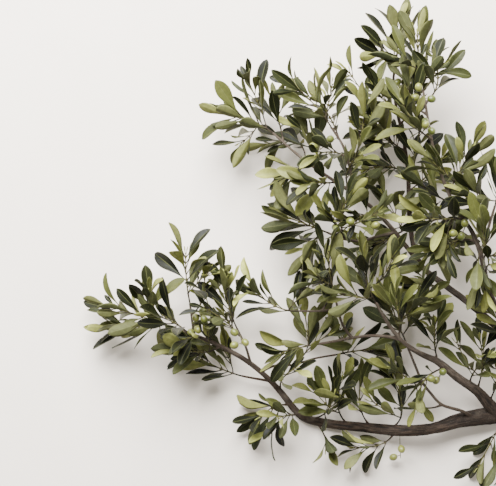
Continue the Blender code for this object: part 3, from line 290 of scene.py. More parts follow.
# Sprays: the limb, the point on it (x, y in cm, or None for its end), then for each shoot its tip (x, y, z in
# cm), its pairs of leaves and their length in mm. The first shoot starts on the limb, each other one in the
# place of a leaf of the first, one pair further up each time.
SPRAYS = {
    "left_tip": ("trunk", None, [
        (-69.4, 17.0, 5.2, 5, 66), (-68.6, 13.4, 3.2, 5, 66), (-62.6, 18.8, 8.8, 4, 64)]),
    "left_mid": ("trunk", (-56.4, 12.8), [(-61.4, 15.8, 9.4, 4, 64)]),
    "left_rise": ("left_rise", None, [(-56.7, 25.2, 9.0, 4, 70), (-53.2, 22.4, 10.2, 2, 58)]),
    "left_lift": ("left_lift", None, [(-50.8, 21.4, 9.4, 5, 64), (-53.6, 17.0, 10.4, 2, 58)]),
    "left_reach": ("reach", None, [(-46.6, 20.0, 8.8, 4, 62), (-37.2, 20.8, 11.0, 3, 60)]),
    "low_reach": ("low_reach", None, [(-56.0, 9.2, 2.8, 5, 62), (-52.6, 12.2, 3.2, 3, 56)]),
    "low_left": ("trunk", (-51.4, 10.6), [(-57.6, 10.6, 7.2, 4, 64), (-54.2, 15.4, 9.4, 3, 58)]),
    "knee_low": ("trunk", (-40.2, 1.2), [(-45.0, -0.6, 3.2, 4, 62), (-43.6, -3.0, 3.4, 2, 58)]),
    "far_end": ("bough", None, [
        (-49.8, 46.8, 8.6, 5, 72), (-47.0, 52.0, 9.6, 3, 66), (-48.0, 42.6, 7.0, 2, 62)]),
    "far_under": ("bough", (-37.2, 38.9), [(-41.2, 36.8, 8.2, 3, 64)]),
    "far_rise": ("bough", (-35.8, 37.9), [(-38.4, 45.0, 7.2, 4, 62)]),
    "crest": ("bough_rise", None, [(-40.4, 51.4, 12.8, 4, 64), (-34.0, 51.4, 9.8, 4, 60)]),
    "crest_in": ("bough_rise", (-31.2, 38.7), [(-29.2, 48.2, 12.4, 4, 64)]),
    "crest_low": ("bough_rise", (-31.9, 40.2), [(-36.0, 40.6, 13.8, 4, 62)]),
    "bough_low": ("bough", (-33.3, 36.3), [(-37.2, 36.2, 12.6, 5, 64)]),
    "rosette": ("inner", None, [(-40.2, 30.6, 11.0, 5, 74), (-37.8, 25.8, 9.4, 3, 64)]),
    "rosette_up": ("inner", (-31.8, 27.4), [(-31.6, 34.0, 13.2, 4, 62), (-27.2, 31.6, 14.2, 2, 62)]),
    "heart": ("heart", None, [(-34.7, 25.6, 12.4, 4, 64), (-36.4, 21.8, 13.0, 3, 60)]),
    "shelf_end": ("shelf", None, [(-41.8, 9.7, 6.6, 4, 60), (-38.0, 15.0, 5.4, 3, 62)]),
    "under_arch": ("under_arch", None, [(-26.2, 10.2, 4.2, 5, 60), (-32.4, 13.4, 3.8, 2, 58)]),
    "arch_up": ("under_arch", (-39.0, 8.0), [(-34.6, 12.2, 7.0, 3, 58)]),
    "low_two": ("trunk", (-31.0, -2.2), [(-32.2, 6.0, 5.0, 4, 62), (-36.8, 3.8, 5.2, 3, 58)]),
    "low_three": ("trunk", (-27.4, -2.6), [(-28.8, 6.2, 2.6, 4, 62), (-32.4, 2.6, 4.4, 2, 58)]),
    "low_four": ("trunk", (-24.4, -2.7), [(-24.0, 5.2, 5.0, 4, 60), (-27.6, 2.0, 5.6, 2, 58)]),
    "under_two": ("trunk", (-23.4, -2.8), [(-30.0, -5.6, 2.6, 4, 58)]),
    "arc_end": ("arc", None, [(-25.2, 17.4, 5.6, 5, 62), (-20.4, 16.2, 5.2, 3, 58)]),
    "arc_side": ("arc", (-19.7, 5.2), [(-24.4, 7.4, 8.6, 4, 58), (-20.4, 1.6, 8.4, 2, 54)]),
    "spine": ("fork", None, [
        (-29.2, 24.4, 13.6, 5, 64), (-33.0, 19.2, 15.2, 3, 64), (-25.0, 25.0, 15.8, 3, 62)]),
    "spine_right": ("fork", (-23.7, 12.3), [(-20.0, 18.6, 13.4, 5, 62), (-24.6, 19.4, 15.4, 3, 60)]),
    "fork_up": ("fork", (-17.6, 8.5), [(-18.2, 14.6, 11.4, 5, 58)]),
    "fork_right": ("fork", (-10.9, 3.5), [(-10.8, 11.6, 7.4, 5, 58), (-14.6, 11.4, 8.2, 2, 56)]),
    "beam_right": ("beam", (-4.4, 10.3), [(-10.4, 17.4, 9.6, 4, 62)]),
    "mid_right": ("beam", (-20.8, 26.7), [(-14.6, 27.6, 6.6, 5, 66), (-17.6, 31.8, 7.0, 2, 62)]),
    "mid_left": ("beam", (-21.1, 29.9), [(-28.0, 26.4, 3.6, 5, 66), (-25.8, 34.6, 5.2, 3, 62)]),
    "high_right": ("beam", (-21.4, 35.0), [(-16.4, 40.2, 5.0, 4, 62), (-20.0, 44.6, 6.4, 3, 60)]),
    "high_left": ("beam", (-21.6, 37.4), [(-28.4, 38.4, 4.8, 5, 62)]),
    "upper_left": ("beam", (-22.0, 41.0), [(-27.4, 46.2, 6.0, 5, 60)]),
    "upper_twin": ("beam", (-23.0, 45.6), [(-20.4, 51.4, 7.6, 5, 62), (-27.6, 51.4, 7.2, 3, 62)]),
    "top_end": ("beam", None, [(-23.8, 60.6, 7.6, 5, 66), (-25.8, 56.4, 8.4, 3, 60)]),
    "spire_end": ("mast", None, [
        (-21.0, 59.0, 11.8, 5, 66), (-17.4, 54.0, 13.4, 3, 58), (-23.8, 55.6, 13.6, 3, 60)]),
    "mast_high": ("mast", (-18.7, 42.6), [(-23.4, 47.8, 15.8, 5, 64)]),
    "crown_right": ("mast", (-16.4, 34.6), [(-13.2, 41.0, 15.4, 5, 64), (-19.8, 39.8, 17.2, 3, 60)]),
    "crown_left": ("mast", (-14.0, 30.6), [(-20.0, 30.6, 16.6, 5, 64), (-17.2, 25.4, 15.8, 2, 62)]),
    "crown_low": ("mast", (-12.0, 27.2), [(-19.4, 25.2, 13.8, 5, 62)]),
    "edge_top": ("mast_side", None, [(-8.6, 36.2, 13.4, 4, 62), (-13.6, 34.4, 14.0, 4, 62)]),
    "edge_mid": ("mast", (-10.8, 24.0), [
        (-11.6, 30.0, 15.4, 4, 66), (-7.6, 25.4, 13.0, 4, 64), (-10.6, 19.4, 13.2, 3, 60)]),
    "butt_shoot": ("trunk", (-5.6, -0.2), [(-10.6, -8.8, 2.8, 4, 58), (-7.0, -9.6, 3.0, 3, 56)]),
}

# Olive clusters: the limb, the point on it (x, y in cm), where the cluster hangs (x, y, z in cm) and how many
# olives it has.
OLIVE_CLUSTERS = [
    ("left_rise", (-55.9, 16.4), (-55.0, 18.2, 9.6), 3),
    ("left_lift", (-48.4, 12.8), (-50.2, 16.4, 9.4), 3),
    ("trunk", (-56.2, 12.7), (-56.6, 14.6, 8.4), 3),
    ("inner", (-33.8, 28.1), (-35.0, 31.4, 13.6), 3),
    ("inner", (-29.8, 27.2), (-30.7, 29.4, 13.8), 2),
    ("beam", (-23.9, 53.6), (-22.8, 55.2, 10.0), 3),
    ("mast", (-18.9, 44.4), (-20.4, 43.4, 16.4), 3),
    ("mast", (-18.8, 48.8), (-21.2, 52.2, 15.6), 3),
    ("trunk", (-23.0, -2.8), (-22.4, -6.4, 2.4), 2),
    ("fork", (-16.6, 7.7), (-18.4, 7.0, 9.6), 3),
    ("mast", (-13.6, 29.8), (-14.9, 28.2, 15.8), 3),
    ("bough_rise", (-33.2, 43.2), (-36.8, 44.0, 13.6), 2),
]


class Body:
    """Points and faces of one closed mesh, grown loop by loop. Loops run anticlockwise seen from ahead."""

    def __init__(self):
        self.points, self.faces = [], []

    def add(self, points):
        first = len(self.points)
        self.points += [Vector(p) for p in points]
        return list(range(first, first + len(points)))

    def cap_start(self, loop):
        self.faces.append(tuple(loop[::-1]))

    def cap_end(self, loop):
        self.faces.append(tuple(loop))

    def point_end(self, loop, point):
        tip = self.add([point])[0]
        self.faces += [(loop[i], loop[(i + 1) % len(loop)], tip) for i in range(len(loop))]

    def bridge(self, near, far):
        """Sides between two loops, one for each edge. Returns the number of the first."""
        first = len(self.faces)
        n = len(near)
        self.faces += [(near[i], near[(i + 1) % n], far[(i + 1) % n], far[i]) for i in range(n)]
        return first

    def loft(self, sections):
        """Grows a closed tube through sections of as many points each. Returns the body."""
        loops = [self.add(points) for points in sections]
        self.cap_start(loops[0])
        for near, far in zip(loops, loops[1:]):
            self.bridge(near, far)
        self.cap_end(loops[-1])
        return self

    def bridge_out(self, near, far):
        """Sides between two loops that may be turned against each other, split so that none caves in."""
        n = len(near)
        for i in range(n):
            a, b, c, d = near[i], near[(i + 1) % n], far[(i + 1) % n], far[i]
            pa, pb, pc, pd = (self.points[k] for k in (a, b, c, d))
            if (pd - pa).dot((pb - pa).cross(pc - pa)) <= 0:
                self.faces += [(a, b, c), (a, c, d)]
            else:
                self.faces += [(a, b, d), (b, c, d)]

    def bridge_blade(self, near, far):
        """Sides between two sections of a blade, split alike on both faces, from the margin to the midrib."""
        for i in range(4):
            j = (i + 1) % 4
            if i % 2 == 0:
                self.faces += [(near[i], near[j], far[j]), (near[i], far[j], far[i])]
            else:
                self.faces += [(near[i], near[j], far[i]), (near[j], far[j], far[i])]

    def bridge_doubling(self, near, far):
        """Sides from a loop to one with twice its corners, whose even ones stand over the loop's own."""
        for i, start in enumerate(near):
            j = (i + 1) % len(near)
            middle = far[2 * i + 1]
            self.faces.append((start, near[j], middle))
            self.faces.append((start, middle, far[2 * i]))
            self.faces.append((near[j], far[2 * j], middle))

    def open_face(self, number):
        """Takes a face away and returns its loop, for something to grow out of it."""
        loop = list(self.faces[number])
        self.faces[number] = None
        return loop

    def solid_faces(self):
        return [face for face in self.faces if face is not None]

    def crosses_itself(self):
        """Whether two faces that share no corner cross."""
        faces = self.solid_faces()
        tree = BVHTree.FromPolygons(self.points, faces)
        return any(not set(faces[a]) & set(faces[b]) for a, b in tree.overlap(tree))


def across(direction):
    """Two unit vectors across a direction: u lies level, and u, v and the direction are right-handed."""
    u = UP.cross(direction)
    u = Vector((1, 0, 0)) if u.length < 1e-4 else u.normalized()
    return u, direction.cross(u).normalized()


def ring(centre, direction, radius, sides):
    """A round section with a flat facet below, anticlockwise seen from ahead."""
    u, v = across(direction)
    angles = [(k + 0.5) * 2 * math.pi / sides - math.pi / 2 for k in range(sides)]
    return [centre + radius * (u * math.cos(a) + v * math.sin(a)) for a in angles]


def tube(path, sides):
    """A closed tube along (point, radius) rows. What would reach under the floor is laid flat on it."""
    points = [point for point, _ in path]
    sections = []
    for k, (point, radius) in enumerate(path):
        direction = (points[min(k + 1, len(path) - 1)] - points[max(k - 1, 0)]).normalized()
        sections.append([(p.x, p.y, max(p.z, 0.0)) for p in ring(point, direction, radius, sides)])
    return Body().loft(sections)


def smooth_path(rows, spacing=RING_SPACING):
    """Points along a smooth curve through (point, radius) rows, with at most the spacing between them."""
    ends = [rows[0]] + rows + [rows[-1]]
    out = []
    for i in range(len(rows) - 1):
        p0, p1, p2, p3 = (Vector((*ends[i + k][0], ends[i + k][1])) for k in range(4))
        steps = math.ceil((p2.xyz - p1.xyz).length / spacing)
        for t in (s / steps for s in range(steps)):
            out.append(0.5 * (2 * p1 + (p2 - p0) * t + (2 * p0 - 5 * p1 + 4 * p2 - p3) * t * t
                              + (3 * p1 - 3 * p2 + p3 - p0) * t * t * t))
    out.append(Vector((*rows[-1][0], rows[-1][1])))
    return [(p.xyz, p.w) for p in out]


def limb_path(name, spacing=RING_SPACING):
    return smooth_path([(Vector((x, y, z)) * CM, r * MM) for x, y, z, r in LIMBS[name][1]], spacing)


def place_on(path, x, y):
    """The point of a path that is nearest to x, y from above, with the radius and the direction there."""
    spot = Vector((x, y))
    found = []
    for (a, ra), (b, rb) in zip(path, path[1:]):
        run = (b - a).xy
        t = max(0.0, min(1.0, (spot - a.xy).dot(run) / run.length_squared))
        point = a.lerp(b, t)
        found.append(((point.xy - spot).length, point, ra + (rb - ra) * t, (b - a).normalized()))
    return min(found, key=lambda row: row[0])[1:]


def leaning_off(direction, towards, angle):
    """A unit vector at an angle off a limb's direction, on the side of towards."""
    across_it = towards - direction * towards.dot(direction)
    across_it = UP.copy() if across_it.length < 1e-6 else across_it.normalized()
    along = direction if towards.dot(direction) > 0 else -direction
    return along * math.cos(angle) + across_it * math.sin(angle)


def turned_to(points, targets):
    """How many corners the targets are turned round by to lie nearest to a loop's points."""
    def apart(shift):
        return sum((points[i] - targets[(i + shift) % 4]).length_squared for i in range(4))
    return min(range(4), key=apart)


class Shoot:
    """One leafy shoot: a stem on a smooth bow, with pairs of leaves that stand crosswise in turn."""

    def __init__(self, name, base, start, tip, pairs, leaf_length, radius, rng):
        self.name, self.pairs, self.leaf_length, self.radius = name, pairs, leaf_length, radius
        reach = (tip - base).length
        bow = Vector([rng.uniform(-1, 1) for _ in range(3)]) * reach * SHOOT_BOW
        self.curve = (base, base + start * reach * SHOOT_KNEE + bow, tip)
        across_start, _ = across(start)
        self.side = Matrix.Rotation(rng.uniform(-SEAT_TURN, SEAT_TURN), 3, start) @ across_start
        gaps = [1.0 - SHOOT_CROWDING * k / pairs for k in range(pairs)]
        whole = FIRST_GAP + sum(gaps[:-1]) + LAST_GAP
        self.marks = [(FIRST_GAP + sum(gaps[:k])) / whole for k in range(pairs)]

    def at(self, t):
        """Point, direction, two vectors across it and the stem's half width."""
        a, m, b = self.curve
        point = a * (1 - t) ** 2 + m * (2 * t * (1 - t)) + b * t * t
        ahead = ((m - a) * (1 - t) + (b - m) * t).normalized()
        u = (self.side - ahead * self.side.dot(ahead)).normalized()
        return point, ahead, u, ahead.cross(u), self.radius * (1 - STEM_TAPER * t)

    def corners(self, t):
        point, _, u, w, half = self.at(t)
        return [point + half * (u * a + w * b) for a, b in ((1, 1), (-1, 1), (-1, -1), (1, -1))]

    def outward(self, pair, side):
        """Out of one of the stem's four sides, numbered from the one between its first two corners."""
        _, _, u, w, _ = self.at(self.marks[pair])
        return (w, -u, -w, u)[side]

    def seat_corners(self, pair, side):
        """The corners of the face that a leaf grows from, anticlockwise seen from outside."""
        half = NODE_LENGTH / 2 / self.length()
        near, far = (self.corners(self.marks[pair] + step) for step in (-half, half))
        k = (side + 1) % 4
        return [near[side], near[k], far[k], far[side]]

    def seats(self):
        """The pair and side of every leaf."""
        return [(pair, side) for pair in range(self.pairs) for side in ((0, 2) if pair % 2 == 0 else (1, 3))]

    def length(self):
        points = [self.at(k / LENGTH_STRETCHES)[0] for k in range(LENGTH_STRETCHES + 1)]
        return sum((b - a).length for a, b in zip(points, points[1:]))

    def plain_body(self, start=0.0):
        """The stem as a plain tube, to test what would cross it."""
        shares = [start + (1 - start) * k / TEST_STRETCHES for k in range(TEST_STRETCHES + 1)]
        return Body().loft([self.corners(share) for share in shares])


class Leaf:
    """Where one leaf stands: its root, the directions along it and out of its upper side, its size and form.

    The seat is the four corners on the stem that it grows from.
    """

    def __init__(self, root, seat, along, normal, length, width, bend, fold, twist, outline):
        self.root, self.seat, self.along, self.normal, self.outline = root, seat, along, normal, outline
        self.length, self.width, self.bend, self.fold, self.twist = length, width, bend, fold, twist

    def at(self, share):
        """Centre, direction, side and upper normal at a share of the length, on a round bend."""
        angle = self.bend * share
        radius = self.length / self.bend
        centre = self.root + radius * (self.along * math.sin(angle) + self.normal * (1 - math.cos(angle)))
        ahead = self.along * math.cos(angle) + self.normal * math.sin(angle)
        up = self.normal * math.cos(angle) - self.along * math.sin(angle)
        up = Matrix.Rotation(self.twist * share, 3, ahead) @ up
        return centre, ahead, up.cross(ahead), up

    def section(self, number, grown=0.0):
        """Four corners of a section: a margin, the top of the midrib, the other margin, the underside."""
        share, width = self.outline[number]
        half = self.width / 2 * width
        centre, _, side, up = self.at(share)
        margin = centre + up * (half * math.tan(self.fold))
        half, thick = half + grown, BLADE_HALF_THICK + grown
        return [margin + side * half, centre + up * thick, margin - side * half, centre - up * thick]

    def root_loop(self, share, grown=0.0):
        """The seat's corners in the order of the sections', carried along to a share of the length."""
        first = self.section(0)
        shift = turned_to(first, self.seat)
        middle = sum(self.seat, Vector()) / 4
        ways = [(p - middle).normalized() for p in self.seat]
        turned = [self.seat[(i + shift) % 4] + ways[(i + shift) % 4] * grown for i in range(4)]
        return [p.lerp(q, share / self.outline[0][0]) for p, q in zip(turned, self.section(0, grown))]

    def tip(self, grown=0.0):
        centre, ahead, _, _ = self.at(1.0)
        return centre + ahead * grown

    def test_bodies(self):
        """The blade and its narrow end as closed bodies, a little larger than they are."""
        blade = Body()
        loops = [blade.add(self.root_loop(STALK_SHARE, CLEARANCE))]
        loops += [blade.add(self.section(k, CLEARANCE)) for k in range(len(self.outline))]
        blade.cap_start(loops[0])
        blade.bridge_out(*loops[:2])
        for near, far in zip(loops[1:], loops[2:]):
            blade.bridge_blade(near, far)
        blade.point_end(loops[-1], self.tip(CLEARANCE))
        stalk = Body()
        near, far = (stalk.add(self.root_loop(share, CLEARANCE)) for share in (0.0, STALK_SHARE))
        stalk.cap_start(near)
        stalk.bridge_out(near, far)
        stalk.cap_end(far)
        return blade, stalk


class Fruit:
    """Where one olive hangs: the end of its stalk and the direction it points in."""

    def __init__(self, top, axis):
        self.top, self.axis = top, axis

    def round(self, along, half, sides):
        """A section at a distance along the axis, its first corner half way between the cross vectors."""
        u, v = across(self.axis)
        angles = [math.pi / 4 + 2 * math.pi * i / sides for i in range(sides)]
        centre = self.top + self.axis * along
        return [centre + (u * math.cos(a) + v * math.sin(a)) * (half + CLEARANCE) for a in angles]

    def test_body(self):
        """The olive as a closed body, a little larger than it is."""
        body = Body()
        collar = body.add(self.round(0.0, STALK_HALF, 4))
        body.cap_start(collar)
        shoulders = [OLIVE_LENGTH * (0.5 - FRUIT_SHOULDER), OLIVE_LENGTH * (0.5 + FRUIT_SHOULDER)]
        near, far = (body.add(self.round(along, OLIVE_WIDTH / 2, 8)) for along in shoulders)
        body.bridge_doubling(collar, near)
        body.bridge(near, far)
        body.point_end(far, self.top + self.axis * (OLIVE_LENGTH + CLEARANCE))
        return body


class Room:
    """What already stands in the branch, so that nothing new crosses it."""

    def __init__(self):
        self.low, self.high, self.trees, self.owners = [], [], [], []

    def put(self, body, owner):
        points = np.array([tuple(p) for p in body.points])
        self.low.append(points.min(axis=0))
        self.high.append(points.max(axis=0))
        self.trees.append(BVHTree.FromPolygons(body.points, body.solid_faces()))
        self.owners.append(owner)

    def clear(self, body, skip=()):
        """Whether a body stands above the floor and crosses nothing but what the owners to skip have put."""
        points = np.array([tuple(p) for p in body.points])
        low, high = points.min(axis=0), points.max(axis=0)
        if low[2] < FLOOR_CLEARANCE:
            return False
        near = np.all((np.array(self.low) <= high) & (np.array(self.high) >= low), axis=1)
        tree = BVHTree.FromPolygons(body.points, body.solid_faces())
        others = [self.trees[i] for i in np.flatnonzero(near) if self.owners[i] not in skip]
        return not any(other.overlap(tree) for other in others)


def plan_shoot(name, base, start, row, radius, room, skip, rng):
    """A shoot to the tip in its row, on a bow that crosses nothing."""
    x, y, z, pairs, leaf_length = row
    tip = Vector((x, y, z)) * CM
    for attempt in range(SHOOT_TRIES):
        strayed = tip + Vector([rng.gauss(0, 1) for _ in range(3)]) * (CM * attempt / TRIES_TO_STRAY)
        strayed.z = max(strayed.z, LOWEST_TIP)
        shoot = Shoot(name, base, start, strayed, pairs, leaf_length * MM, radius, rng)
        if room.clear(shoot.plain_body(CLEAR_START), skip):
            break
    room.put(shoot.plain_body(), name)
    return shoot


def plan_spray(name, paths, room):
    """The path of a spray's woody heel, or None, and its shoots, each with its seat on the first, or None."""
    limb, spot, rows = (SPRAYS | TWIGS)[name]
    rng = random.Random(f"{SEED} {name}")
    path = paths[limb]
    first_tip = Vector(rows[0][:3]) * CM
    if spot is None:
        start = (path[-1][0] - path[-2][0]).normalized()
        heel, foot = None, path[-1][0]
    else:
        point, limb_radius, direction = place_on(path, spot[0] * CM, spot[1] * CM)
        start = leaning_off(direction, first_tip - point, HEEL_ANGLE)
        foot = point + start * (limb_radius + HEEL_LENGTH)
        heel = [(point, HEEL_RADIUS), (foot, HEEL_RADIUS * HEEL_TAPER)]
        room.put(tube(heel, HEEL_SIDES), name + " heel")
    main = plan_shoot(name, foot + start * JOINT_GAP, start, rows[0], STEM_HALF, room, (), rng)
    shoots = [(main, None)]
    for k, row in enumerate(rows[1:]):
        tip = Vector(row[:3]) * CM
        point, _, _, _, half = main.at(main.marks[k])
        sides = [side for pair, side in main.seats() if pair == k]
        side = max(sides, key=lambda s: main.outward(k, s).dot(tip - point))
        out = main.outward(k, side)
        start = (out + (tip - point).normalized() * SIDE_PULL).normalized()
        shoot = plan_shoot(f"{name} {k}", point + out * half, start, row, SIDE_STEM_HALF, room, (name,), rng)
        shoots.append((shoot, (k, side)))
    return heel, shoots


def plan_leaf(shoot, mark, out, seat, outline, attempt, rng):
    """A leaf for one seat. Each further attempt strays more from the usual place."""
    point, ahead, _, _, half = shoot.at(mark)
    stray = min(attempt / TRIES_TO_STRAY, MOST_STRAY)
    lean = FIRST_LEAN + (LAST_LEAN - FIRST_LEAN) * mark + rng.gauss(0, LEAN_SPREAD + LEAN_STRAY * stray)
    lean = math.radians(lean)
    roll = math.radians(rng.gauss(0, ROLL_SPREAD + ROLL_STRAY * stray))
    outward = Matrix.Rotation(roll, 3, ahead) @ out
    along = ahead * math.cos(lean) + outward * math.sin(lean)
    natural = ahead * math.sin(lean) - outward * math.cos(lean)
    light = LIGHT_SIDE if rng.random() < FACING_SHARE else -LIGHT_SIDE
    facing = natural.lerp(light, rng.uniform(*FACING_PULL))
    facing += Vector([rng.gauss(0, FACING_SPREAD) for _ in range(3)])
    normal = (facing - along * facing.dot(along)).normalized()
    length = shoot.leaf_length * (END_LENGTH + MIDDLE_LENGTH * math.sin(math.pi * mark))
    length *= rng.uniform(*LENGTH_RANGE) * (1 - CROWDED_LOSS * attempt / LEAF_TRIES)
    width = length * LEAF_WIDTH_SHARE * rng.uniform(*WIDTH_RANGE)
    bend = math.radians(rng.choice(BEND_SIDES) * rng.uniform(*BEND_RANGE))
    fold, twist = math.radians(rng.uniform(*FOLD_RANGE)), math.radians(rng.gauss(0, TWIST_SPREAD))
    return Leaf(point + out * half, seat, along, normal, length, width, bend, fold, twist, outline)


def place_leaves(shoots, room, rng):
    """The leaves of a spray's shoots that find room, by shoot, pair and side."""
    taken = {seat for _, seat in shoots if seat is not None}
    leaves = {}
    for number, (shoot, _) in enumerate(shoots):
        for pair, side in shoot.seats():
            if number == 0 and (pair, side) in taken:
                continue
            outline = POINTED_SECTIONS if pair in (0, shoot.pairs - 1) else FULL_SECTIONS
            place = shoot.marks[pair], shoot.outward(pair, side), shoot.seat_corners(pair, side), outline
            for attempt in range(LEAF_TRIES):
                leaf = plan_leaf(shoot, *place, attempt, rng)
                blade, stalk = leaf.test_bodies()
                if not room.clear(blade) or not room.clear(stalk, (shoot.name,)):
                    continue
                grown = {**leaves, (number, pair, side): leaf}
                if not spray_body(shoots, grown).crosses_itself():
                    leaves = grown
                    room.put(blade, shoot.name + " leaf")
                    room.put(stalk, shoot.name + " leaf")
                    break
    return leaves


def in_open_part(point):
    """Whether a place is in the airy lower part of the crown."""
    (low_x, low_y), (high_x, high_y) = OPEN_PART
    return low_x * CM < point.x < high_x * CM and low_y * CM < point.y < high_y * CM


def place_fillers(name, shoots, room):
    """Smaller leaves between a spray's pairs, where they find room, with the mark and the shoot of each."""
    rng = random.Random(f"{SEED} fillers {name}")
    fillers = []
    for shoot, _ in shoots:
        for number, (low, high) in enumerate(zip(shoot.marks, shoot.marks[1:] + [1.0])):
            mark = (low + high) / 2
            point, ahead, u, w, half = shoot.at(mark)
            turn = FILLER_TURN * (-1) ** number
            for sign in (1, -1):
                if rng.random() > (OPEN_FILLERS if in_open_part(point) else 1.0):
                    continue
                out = (u * math.cos(turn) + w * math.sin(turn)) * sign
                edge = ahead.cross(out) * half
                seat = [point + out * half + edge * a + ahead * b * NODE_LENGTH / 2 for a, b in SQUARE]
                for attempt in range(FILLER_TRIES):
                    leaf = plan_leaf(shoot, mark, out, seat, POINTED_SECTIONS, attempt, rng)
                    share = rng.uniform(*FILLER_SHARE) * (1 - FILLER_LOSS * attempt / FILLER_TRIES)
                    leaf.length, leaf.width = leaf.length * share, leaf.width * share * FILLER_SLIMNESS
                    blade, stalk = leaf.test_bodies()
                    if room.clear(blade) and room.clear(stalk, (shoot.name,)):
                        fillers.append((leaf, mark, shoot.name))
                        room.put(blade, shoot.name + " leaf")
                        room.put(stalk, shoot.name + " leaf")
                        break
    return fillers


def plan_cluster(number, paths, room):
    """The stalk of an olive cluster and its olives, by seat."""
    limb, spot, hang, count = OLIVE_CLUSTERS[number]
    name = f"olives {number}"
    rng = random.Random(f"{SEED} {name}")
    point, limb_radius, direction = place_on(paths[limb], spot[0] * CM, spot[1] * CM)
    out = leaning_off(direction, Vector(hang) * CM - point, FRUIT_ANGLE)
    root = point + out * (limb_radius + JOINT_GAP)
    end = root + out * (Vector(hang) * CM - point).length
    stalk = Shoot(name, root, out, end, 2, 0.0, STALK_HALF, rng)
    room.put(stalk.plain_body(), name)
    fruits = {}
    for pair, side in FRUIT_SEATS[:count]:
        start, ahead, _, _, half = stalk.at(stalk.marks[pair])
        for attempt in range(LEAF_TRIES):
            stray = Vector([rng.gauss(0, 1) for _ in range(3)]) * (FRUIT_SPREAD + attempt / TRIES_TO_SPREAD)
            axis = (stalk.outward(pair, side) + ahead * FRUIT_AHEAD + stray).normalized()
            fruit = Fruit(start + stalk.outward(pair, side) * half + axis * FRUIT_STALK, axis)
            spaced = fruit.test_body()
            if room.clear(spaced):
                fruits[pair, side] = fruit
                room.put(spaced, name)
                break
    return stalk, fruits


def grow_stem(body, shoot, root_face):
    """Adds a shoot's stem, out of a face of the body or with a flat foot. Returns the face of each seat."""
    half = NODE_LENGTH / 2 / shoot.length()
    if root_face is None:
        loop = body.add(shoot.corners(0.0))
        body.cap_start(loop)
        shift = 0
    else:
        loop = body.open_face(root_face)
        shift = turned_to([body.points[i] for i in loop], shoot.corners(shoot.marks[0] - half))
    faces = {}
    for pair, mark in enumerate(shoot.marks):
        for t in (mark - half, mark + half):
            points = shoot.corners(t)
            far = body.add([points[(i + shift) % 4] for i in range(4)])
            first = body.bridge(loop, far)
            loop = far
        for side in range(4):
            faces[pair, side] = first + (side - shift) % 4
    body.point_end(loop, shoot.at(1.0)[0])
    return faces


def grow_leaf(body, leaf, root_face):
    """Adds a leaf that grows out of a face of the body."""
    root = body.open_face(root_face)
    loops = [body.add(leaf.section(number)) for number in range(len(leaf.outline))]
    shift = turned_to([body.points[i] for i in root], leaf.section(0))
    body.bridge_out(root, [loops[0][(i + shift) % 4] for i in range(4)])
    for near, far in zip(loops, loops[1:]):
        body.bridge_blade(near, far)
    body.point_end(loops[-1], leaf.tip())


def spray_body(shoots, leaves):
    body = Body()
    faces = []
    for shoot, seat in shoots:
        faces.append(grow_stem(body, shoot, None if seat is None else faces[0][seat]))
    for (number, pair, side), leaf in leaves.items():
        grow_leaf(body, leaf, faces[number][pair, side])
    return body


def plan_branch():
    """The whole branch: sprays with heel, shoots and leaves, clusters, smaller leaves, and what they fill."""
    room = Room()
    paths = {name: limb_path(name) for name in LIMBS}
    for name, path in paths.items():
        room.put(tube(path, LIMBS[name][0]), name)
    grown = {name: plan_spray(name, paths, room) for name in SPRAYS}
    clusters = [plan_cluster(number, paths, room) for number in range(len(OLIVE_CLUSTERS))]
    sprays = {}
    for name, (heel, shoots) in grown.items():
        leaves = place_leaves(shoots, room, random.Random(f"{SEED} leaves {name}"))
        sprays[name] = (heel, shoots, leaves)
    for name in TWIGS:
        heel, shoots = plan_spray(name, paths, room)
        sprays[name] = (heel, shoots, place_leaves(shoots, room, random.Random(f"{SEED} leaves {name}")))
    fillers = {name: place_fillers(name, shoots, room) for name, (_, shoots, _) in sprays.items()}
    return sprays, clusters, fillers, room


def finished(piece, node):
    """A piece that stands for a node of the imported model."""
    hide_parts(node)
    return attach(piece, "root")


def floats(vector):
    return np.array(tuple(vector))


def smoothstep(low, high, value):
    share = np.clip((value - low) / (high - low), 0.0, 1.0)
    return share * share * (3 - 2 * share)


def placed(name, data):
    """A new object with that data, in the scene."""
    made = bpy.data.objects.new(name, data)
    bpy.context.scene.collection.objects.link(made)
    return made


class Skin:
    """Vertices, faces and named values at the vertices, gathered for one mesh."""

    def __init__(self, *names):
        self.count, self.points, self.faces = 0, [], []
        self.values = {name: [] for name in names}

    def add(self, points, faces, **values):
        """Adds points (n, 3), faces as lists of their numbers, and a value or an array for each name."""
        self.points.append(points)
        self.faces += [[self.count + i for i in face] for face in faces]
        for name, rows in self.values.items():
            rows.append(np.broadcast_to(np.asarray(values.get(name, 0.0), dtype=float), (len(points),)))
        self.count += len(points)

    def add_loft(self, loops, **values):
        """Joins loops of points (stations, around, 3) into a closed skin, with a flat face over each end."""
        stations, around, _ = loops.shape
        faces = []
        for near in range(0, (stations - 1) * around, around):
            far = near + around
            for i in range(around):
                k = (i + 1) % around
                faces.append([near + i, near + k, far + k, far + i])
        shaped = {}
        for name, value in values.items():
            shaped[name] = np.broadcast_to(value, (stations, around)).reshape(-1)
        faces.append(list(range(around))[::-1])
        faces.append([(stations - 1) * around + i for i in range(around)])
        self.add(loops.reshape(-1, 3), faces, **shaped)

    def object(self, name, *materials):
        mesh = bpy.data.meshes.new(name)
        mesh.from_pydata(np.concatenate(self.points).tolist(), [], self.faces)
        mesh.shade_smooth()
        for value, rows in self.values.items():
            mesh.attributes.new(value, "FLOAT", "POINT").data.foreach_set("value", np.concatenate(rows))
        for look in materials:
            mesh.materials.append(look)
        return placed(name, mesh)


